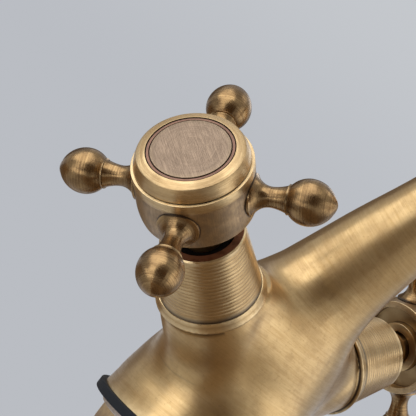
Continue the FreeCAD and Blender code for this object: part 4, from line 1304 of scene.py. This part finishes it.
@dataclass
class CrossHandle:
    """Cross handle of one valve: hub, cap, index disc and four turned arms."""

    palette: Palette
    side: Side
    spin: float
    hub_drop: float = 6.0
    hub_foot_radius: float = 12.7
    hub_radius: float = 13.3
    hub_rise: float = 4.98
    hub_wall: float = 1.6
    hub_bend: float = 0.1
    hub_round: float = 0.22
    hub_steps: int = 256
    flange_radius: float = 13.45
    flange_thickness: float = 2.3
    flange_step: float = 0.2
    flange_margin: float = 0.15
    recess: float = 10.58
    web_above: float = 2.58
    web_below: float = 3.18
    screw_hole: float = 2.08
    socket: float = 4.45
    socket_top: float = 0.46
    boss_radius: float = 6.7
    boss_drop: float = 5.1
    hollow_margin: Span = (0.8, 0.2)
    cap_seam: float = 0.16
    cap_side_radius: float = 12.85
    cap_edge_radius: float = 11.85
    cap_side_height: float = 3.25
    cap_crown: float = 0.7
    cap_bend: float = 0.1
    cap_round: float = 0.1
    cap_steps: int = 192
    cap_top_thickness: float = 1.4
    cap_seam_dark_height: float = 0.3
    skirt_radius: float = 10.5
    skirt_wall: float = 1.6
    skirt_gap: float = 0.3
    groove_radius: float = 9.8
    groove_margin: float = 0.06
    groove_unshaded_top: float = 0.04
    index_radius: float = 8.8
    index_thickness: float = 0.6
    index_round: float = 0.14
    index_steps: int = 128
    index_edge_shade_strength: float = 0.9
    index_unshaded_top: float = 0.15
    slit: float = 0.2
    slit_unshaded_top: float = 0.08
    ring_drop: float = 0.12
    arm_count: int = 4
    arm_steps: int = 96
    arm_seam_dark: float = 0.8
    arm_seam_dark_width: float = 0.45
    arm_seam_dark_margin: float = 0.3
    arm_seam_range: Span = (0.05, 0.4)
    flare_start: float = 11.5
    flare_lip: float = 1.7
    flare_radius: float = 4.75
    flare_length: float = 4.2
    flare_bend: float = -0.32
    waist_radius: float = 2.3
    waist_length: float = 3.3
    waist_bend: float = -0.08
    shoulder_root: float = 3.1
    shoulder_radius: float = 3.4
    shoulder_rise: float = 0.12
    shoulder_width: float = 0.5
    ball_neck: float = 3.3
    ball_back: float = 5.0
    ball_back_bend: float = 0.25
    ball_radius: float = 5.1
    ball_front: float = 5.47
    ball_front_bend: float = 0.24
    tip_radius: float = 1.9
    tip_rise: float = 0.8
    tip_bend: float = 0.12

    @property
    def plane(self) -> float:
        """Plane of the arms along the valve's axis."""
        return Valve(self.side).plane

    @property
    def foot(self) -> float:
        """Lower edge of the hub along the valve's axis."""
        return self.plane - self.hub_drop

    @property
    def cap_low(self) -> float:
        """Lower edge of the cap along the valve's axis."""
        return self.plane + self.hub_rise + self.flange_thickness + self.cap_seam

    @property
    def cap_top(self) -> float:
        """Flat top of the cap and the index disc along the valve's axis."""
        return self.cap_low + self.cap_side_height + self.cap_crown

    @property
    def cap_floor(self) -> float:
        """Floor of the pocket under the index disc."""
        return self.cap_top - self.index_thickness

    @property
    def turned(self) -> Matrix:
        """Frame of the handle at rest."""
        return Valve(self.side).matrix(self.spin)

    def piece(self, node: str, slot: str) -> Piece:
        """Piece that stands for one node of this handle."""
        name = self.side.value
        return Piece(f"{name}_{node}_skin", (f"{name}_{node}",), f"{name}_handle", slot)

    def hub_dirt_and_shade(self, spot: Vector) -> float:
        """Dirt and painted shade on the hub round the foot of each arm.

        Args:
            spot: Point in the valve's frame.

        Returns:
            The darkening, from 0 to 1.
        """
        reach = spot.to_2d().length
        if reach < self.hub_foot_radius - self.arm_seam_dark_margin:
            return 0.0
        distance = math.hypot(reach * math.sin(angle_off(spot, self.arm_count)), spot.z - self.plane)
        return self.arm_seam_dark * (1.0 - smooth_share(distance, self.flare_radius,
                                                   self.flare_radius + self.arm_seam_dark_width))

    def hub_pick(self, spot: Vector) -> int:
        """Bright flange, cast hollow, patina on the side.

        Args:
            spot: Middle of a face in the valve's frame.

        Returns:
            Number of the finish.
        """
        reach = spot.to_2d().length
        if spot.z > self.plane + self.hub_rise - self.flange_step - self.flange_margin and reach > self.recess:
            return 1
        inwards, upwards = self.hollow_margin
        return 2 if spot.z > self.foot + upwards and reach < self.hub_foot_radius - inwards else 0

    def hub(self) -> None:
        """Hollow bowl with a flange and a boss, with dirt and painted shade round the feet of the arms."""
        plane = self.plane
        flange_low = plane + self.hub_rise
        flange_top = flange_low + self.flange_thickness
        inner = self.hub_foot_radius - self.hub_wall
        outline = Outline(inner, self.foot).to(self.hub_foot_radius, self.foot)
        outline.arc(self.hub_radius, plane, bend=self.hub_bend, steps=20)
        outline.to(self.hub_radius, flange_low - self.flange_step, pieces=14)
        outline.to(self.flange_radius, flange_low).to(self.flange_radius, flange_top).to(self.recess, flange_top)
        outline.to(self.recess, plane + self.web_above).to(self.screw_hole, plane + self.web_above)
        outline.to(self.screw_hole, plane + self.socket_top).to(self.socket, plane + self.socket_top)
        outline.to(self.socket, plane - self.boss_drop).to(self.boss_radius, plane - self.boss_drop)
        outline.to(self.boss_radius, plane - self.web_below).to(inner, plane - self.web_below)
        mesh = outline.close().soften(self.hub_round).turned(self.hub_steps)
        finishes = (self.palette.hub, self.palette.turned, self.palette.cast)
        self.piece("handle_hub", "patina_brass").settle(mesh, self.turned, finishes, dirt_and_shade=self.hub_dirt_and_shade,
                                                        pick=self.hub_pick)

    def cap_pick(self, spot: Vector) -> int:
        """Copper-brown groove, turned brass elsewhere."""
        return int(spot.to_2d().length < self.groove_radius + FLUSH and spot.z > self.cap_floor - CLOSE)

    def cap_shade_and_dirt(self, spot: Vector) -> float:
        """Painted shade on the walls and in the slits of the groove, and dirt with painted shade just above the seam
        at the hub.

        Args:
            spot: Point in the valve's frame.

        Returns:
            The darkening, from 0 to 1.
        """
        reach, top = spot.to_2d().length, self.cap_top
        in_slit = self.cap_floor - CLOSE < spot.z < top - self.ring_drop - self.slit_unshaded_top
        on_wall = abs(reach - self.groove_radius) < self.groove_margin and spot.z < top - self.groove_unshaded_top
        # The groove's walls and slits get full painted shade.
        if on_wall or in_slit and reach < self.groove_radius + self.groove_margin:
            return 1.0
        return 1.0 - smooth_share(spot.z, self.cap_low, self.cap_low + self.cap_seam_dark_height)

    def cap(self) -> None:
        """Screwed cap with a sloped rim and a groove round the index disc."""
        low, top, floor = self.cap_low, self.cap_top, self.cap_floor
        skirt_low = self.plane + self.web_above + self.skirt_gap
        inner = self.skirt_radius - self.skirt_wall
        outline = Outline(inner, skirt_low).to(self.skirt_radius, skirt_low).to(self.skirt_radius, low)
        outline.to(self.cap_side_radius, low)
        outline.arc(self.cap_edge_radius, low + self.cap_side_height, bend=self.cap_bend, steps=14)
        outline.to(self.groove_radius, top, pieces=3)
        ring_top = top - self.ring_drop
        outer_slit = self.groove_radius - self.slit
        inner_slit = self.index_radius + self.slit
        outline.to(self.groove_radius, floor).to(outer_slit, floor).to(outer_slit, ring_top)
        outline.to(inner_slit, ring_top).to(inner_slit, floor).to(self.index_radius - self.slit, floor)
        outline.to(0.0, floor).to(0.0, floor - self.cap_top_thickness).to(inner, floor - self.cap_top_thickness)
        mesh = outline.close().soften(self.cap_round).turned(self.cap_steps)
        finishes = (self.palette.turned, self.palette.copper)
        self.piece("handle_cap", "antique_brass").settle(mesh, self.turned, finishes, wear_and_highlight_share=0.15, dirt_and_shade=self.cap_shade_and_dirt,
                                                         pick=self.cap_pick)

    def index_edge_shade(self, spot: Vector) -> float:
        """Painted shade round the edge of the index disc, darker towards the floor of its pocket."""
        return self.index_edge_shade_strength * (1.0 - smooth_share(spot.z, self.cap_floor, self.cap_top - self.index_unshaded_top))

    def index(self) -> None:
        """Flat index disc with a rounded edge."""
        outline = Outline(0.0, self.cap_floor).to(self.index_radius, self.cap_floor)
        outline.to(self.index_radius, self.cap_top).to(0.0, self.cap_top, pieces=8)
        mesh = outline.soften(self.index_round).turned(self.index_steps)
        self.piece("index_disc", "patina_brass").settle(mesh, self.turned, (self.palette.index,), wear_and_highlight_share=0.15,
                                                        dirt_and_shade=self.index_edge_shade)

    def arm_dirt_and_shade(self, spot: Vector) -> float:
        """Dirt and painted shade in the seam where an arm meets the hub."""
        return 1.0 - smooth_share(math.hypot(spot.z, spot.y) - self.hub_radius, *self.arm_seam_range)

    def arm(self, number: int) -> None:
        """One turned arm with a flared foot, a waist, a bead and an egg-shaped ball.

        Args:
            number: Number of the arm, from 1.
        """
        lip_end = self.flare_start + self.flare_lip
        waist = lip_end + self.flare_length
        shoulder = waist + self.waist_length
        bead_end = shoulder + self.shoulder_width
        ball = bead_end + self.ball_back
        tip = ball + self.ball_front
        outline = Outline(0.0, self.flare_start).to(self.flare_radius, self.flare_start)
        outline.to(self.flare_radius, lip_end, pieces=8)
        outline.arc(self.waist_radius, waist, bend=self.flare_bend, steps=18)
        outline.arc(self.shoulder_root, shoulder, bend=self.waist_bend, steps=8)
        outline.to(self.shoulder_radius, shoulder + self.shoulder_rise).to(self.ball_neck, bead_end)
        outline.arc(self.ball_radius, ball, bend=self.ball_back_bend, steps=16)
        outline.arc(self.tip_radius, tip - self.tip_rise, bend=self.ball_front_bend, steps=16)
        mesh = outline.arc(0.0, tip, bend=self.tip_bend, steps=5).turned(self.arm_steps)
        round_hub = Matrix.Rotation(FULL_TURN * (number - 1) / self.arm_count, 4, "Z")
        outwards = Matrix.Rotation(math.radians(90.0), 4, "Y")
        place = self.turned @ Matrix.Translation((0.0, 0.0, self.plane)) @ round_hub @ outwards
        self.piece(f"arm_{number}", "antique_brass").settle(mesh, place, (self.palette.arm,), dirt_and_shade_share=0.15, wear_and_highlight_share=0.3,
                                                            dirt_and_shade=self.arm_dirt_and_shade)

    def build(self) -> None:
        """All pieces of the handle."""
        self.hub()
        self.cap()
        self.index()
        for number in range(1, self.arm_count + 1):
            self.arm(number)


@dataclass
class InnerWorks:
    """Finishes of the inner nodes, which keep their CAD shape."""

    palette: Palette

    def build(self) -> None:
        """Give every inner node the finish of its kind."""
        # The cartridge housing and stem clip get the near-black painted shade.
        kinds = ((self.palette.inner_shade_dark, ("cartridge_housing", "stem_clip")),
                 (self.palette.stem, ("spindle",)),
                 (self.palette.rubber, ("seat_seal", "cartridge_o_ring", "stem_o_ring", "aerator_seal")),
                 (self.palette.ceramic, ("fixed_disc", "moving_disc")),
                 (self.palette.plastic, ("thrust_washer", "aerator_insert")),
                 (self.palette.steel, ("handle_screw", "aerator_screen")))
        for name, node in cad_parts.items():
            for material, endings in kinds:
                if name.endswith(endings):
                    node.data.materials.clear()
                    node.data.materials.append(material)
                    LOG.info("%s: %s", name, material.name)


@dataclass(frozen=True)
class SoftBox:
    """An area lamp of the studio, aimed at the handle."""

    name: str
    place: Triple
    size: Span
    power: float
    colour: Colour = (0.96, 1.0, 1.06)


@dataclass(frozen=True)
class Card:
    """A dark card that only reflections show; it lies level unless it faces some way."""

    name: str
    place: Triple
    size: Span
    tone: Colour
    facing: Optional[Triple] = None

    def matrix(self) -> Matrix:
        """Frame of the card in the studio."""
        turned = Vector(self.facing).to_track_quat("Z", "Y").to_matrix() if self.facing else Matrix.Identity(3)
        return Matrix.Translation(self.place) @ turned.to_4x4()


@dataclass
class Studio:
    """Pale floor and air, soft boxes, dark cards and the camera of the photo."""

    aim: Triple = (-0.03, 0.0, 0.06)
    floor_level: float = -0.0464
    floor_size: float = 8.0
    haze_reach: float = 0.13
    air_low: Colour = (0.49, 0.508, 0.545)
    air_high: Colour = (0.555, 0.575, 0.605)
    air_rise: float = 0.16
    floor_colour: Colour = (0.66, 0.67, 0.69)
    card_roughness: float = 0.9
    eye: Triple = (-0.36703, -0.22515, 0.05773)
    right: Triple = (0.4702, -0.6398, 0.6079)
    up: Triple = (-0.3434, 0.5019, 0.7938)
    lens: float = 151.7
    nearest: float = 0.01
    lamps: Tuple[SoftBox, ...] = (
        SoftBox("Key box", (-0.69, 0.34, 0.73), (1.2, 1.2), power=7.2),
        SoftBox("Right box", (0.422, -0.782, 0.354), (1.1, 0.8), power=2.4),
        SoftBox("Back box", (0.82, 0.24, 0.47), (0.4, 0.3), power=0.45),
        SoftBox("High box", (0.341, -0.173, 0.939), (0.35, 0.35), power=0.4),
        SoftBox("Left box", (-0.56, 0.05, 0.04), (0.3, 0.2), power=0.27),
        SoftBox("Low box", (-0.21, 0.005, -0.045), (0.16, 0.09), power=0.075),
    )
    cards: Tuple[Card, ...] = (
        Card("Camera card", (-0.51174, -0.38998, 0.06), (0.62, 1.1), (0.12, 0.068, 0.022), (-0.777, -0.629, 0.0)),
        Card("Front low card", (0.02, -0.17, -0.0454), (0.46, 0.26), (0.2, 0.13, 0.065)),
        Card("Rear low card", (0.06, 0.22, -0.0454), (0.5, 0.26), (0.2, 0.13, 0.065)),
        Card("Rear card", (0.832, 1.001, 0.36), (1.9, 0.8), (0.2, 0.14, 0.085), (-0.64, -0.77, 0.0)),
    )

    def camera(self) -> None:
        """Camera at the photo's view."""
        data = bpy.data.cameras.new("Photo camera")
        data.lens = self.lens
        data.clip_start = self.nearest
        camera = bpy.data.objects.new("Photo camera", data)
        right = Vector(self.right).normalized()
        back = right.cross(Vector(self.up)).normalized()
        turned = Matrix((right, back.cross(right), back)).transposed()
        camera.matrix_world = Matrix.Translation(self.eye) @ turned.to_4x4()
        bpy.context.scene.collection.objects.link(camera)
        bpy.context.scene.camera = camera

    def light(self) -> None:
        """Soft boxes round the object."""
        for box in self.lamps:
            data = bpy.data.lights.new(box.name, "AREA")
            data.shape = "RECTANGLE"
            data.size, data.size_y = box.size
            data.energy = box.power
            data.color = box.colour
            lamp = bpy.data.objects.new(box.name, data)
            lamp.location = box.place
            lamp.rotation_euler = (Vector(self.aim) - Vector(box.place)).to_track_quat("-Z", "Y").to_euler()
            lamp.visible_camera = False
            bpy.context.scene.collection.objects.link(lamp)

    @staticmethod
    def plate(name: str, size: Span, place: Matrix) -> bpy.types.Object:
        """Flat plate of the studio.

        Args:
            name: Name of the plate.
            size: Its two sides in metres.
            place: Its frame.

        Returns:
            The plate.
        """
        mesh = bmesh.new()
        bmesh.ops.create_grid(mesh, x_segments=1, y_segments=1, size=0.5, matrix=Matrix.Diagonal((*size, 1.0, 1.0)))
        mesh.transform(place)
        plate = new_object(name, mesh)
        return plate

    def floor(self) -> None:
        """Pale floor that fades into the air with distance."""
        place = Matrix.Translation((0.0, 0.0, self.floor_level))
        plate = self.plate("Floor", (self.floor_size, self.floor_size), place)
        material, graph, shader = new_material("Pale floor")
        graph.tree.nodes.remove(shader)
        middle = graph.add("ShaderNodeTexCoord").outputs["Object"]
        distance = graph.vector("LENGTH", middle).outputs["Value"]
        matt = graph.add("ShaderNodeBsdfDiffuse")
        matt.inputs["Color"].default_value = (*self.floor_colour, 1.0)
        haze = graph.add("ShaderNodeEmission")
        haze.inputs["Color"].default_value = (*self.air_low, 1.0)
        fading = graph.add("ShaderNodeMixShader")
        graph.feed(fading.inputs[0], graph.ramp(distance, 0.0, self.haze_reach))
        graph.feed(fading.inputs[1], matt.outputs[0])
        graph.feed(fading.inputs[2], haze.outputs[0])
        graph.feed(graph.tree.nodes["Material Output"].inputs["Surface"], fading.outputs[0])
        plate.data.materials.append(material)

    def shade(self) -> None:
        """Dark cards round the object, which give the metal its dark bands."""
        for card in self.cards:
            material, _, shader = new_material(card.name)
            shader.inputs["Base Color"].default_value = (*card.tone, 1.0)
            shader.inputs["Roughness"].default_value = self.card_roughness
            plate = self.plate(card.name, card.size, card.matrix())
            plate.visible_camera = False
            plate.visible_shadow = False
            plate.visible_diffuse = False
            plate.data.materials.append(material)

    def air(self) -> None:
        """Pale surroundings, a little lighter above."""
        world = bpy.data.worlds.new("Pale air")
        world.use_nodes = True
        graph = Graph(world.node_tree)
        background = world.node_tree.nodes["Background"]
        facing = graph.add("ShaderNodeSeparateXYZ")
        graph.feed(facing.inputs[0], graph.add("ShaderNodeTexCoord").outputs["Generated"])
        rise = graph.ramp(facing.outputs["Z"], 0.0, self.air_rise)
        graph.feed(background.inputs["Color"], graph.blend(rise, self.air_low, self.air_high))
        background.inputs["Strength"].default_value = 1.0
        bpy.context.scene.world = world

    def build(self) -> None:
        """The whole studio."""
        self.camera()
        self.light()
        self.floor()
        self.shade()
        self.air()
        bpy.context.scene.view_settings.view_transform = "Standard"


def main() -> None:
    """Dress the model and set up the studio."""
    logging.basicConfig(level=logging.INFO, format="%(name)s %(message)s")
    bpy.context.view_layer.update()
    palette = Palette()
    body = BodySkin(palette)
    body.build()
    DeckFittings(palette).build()
    Outlet(palette, body).build()
    for side, spin in REST_SPINS:
        BonnetSleeve(palette, side).build()
        CrossHandle(palette, side, spin).build()
    InnerWorks(palette).build()
    Studio().build()


if __name__ == "__main__":
    main()
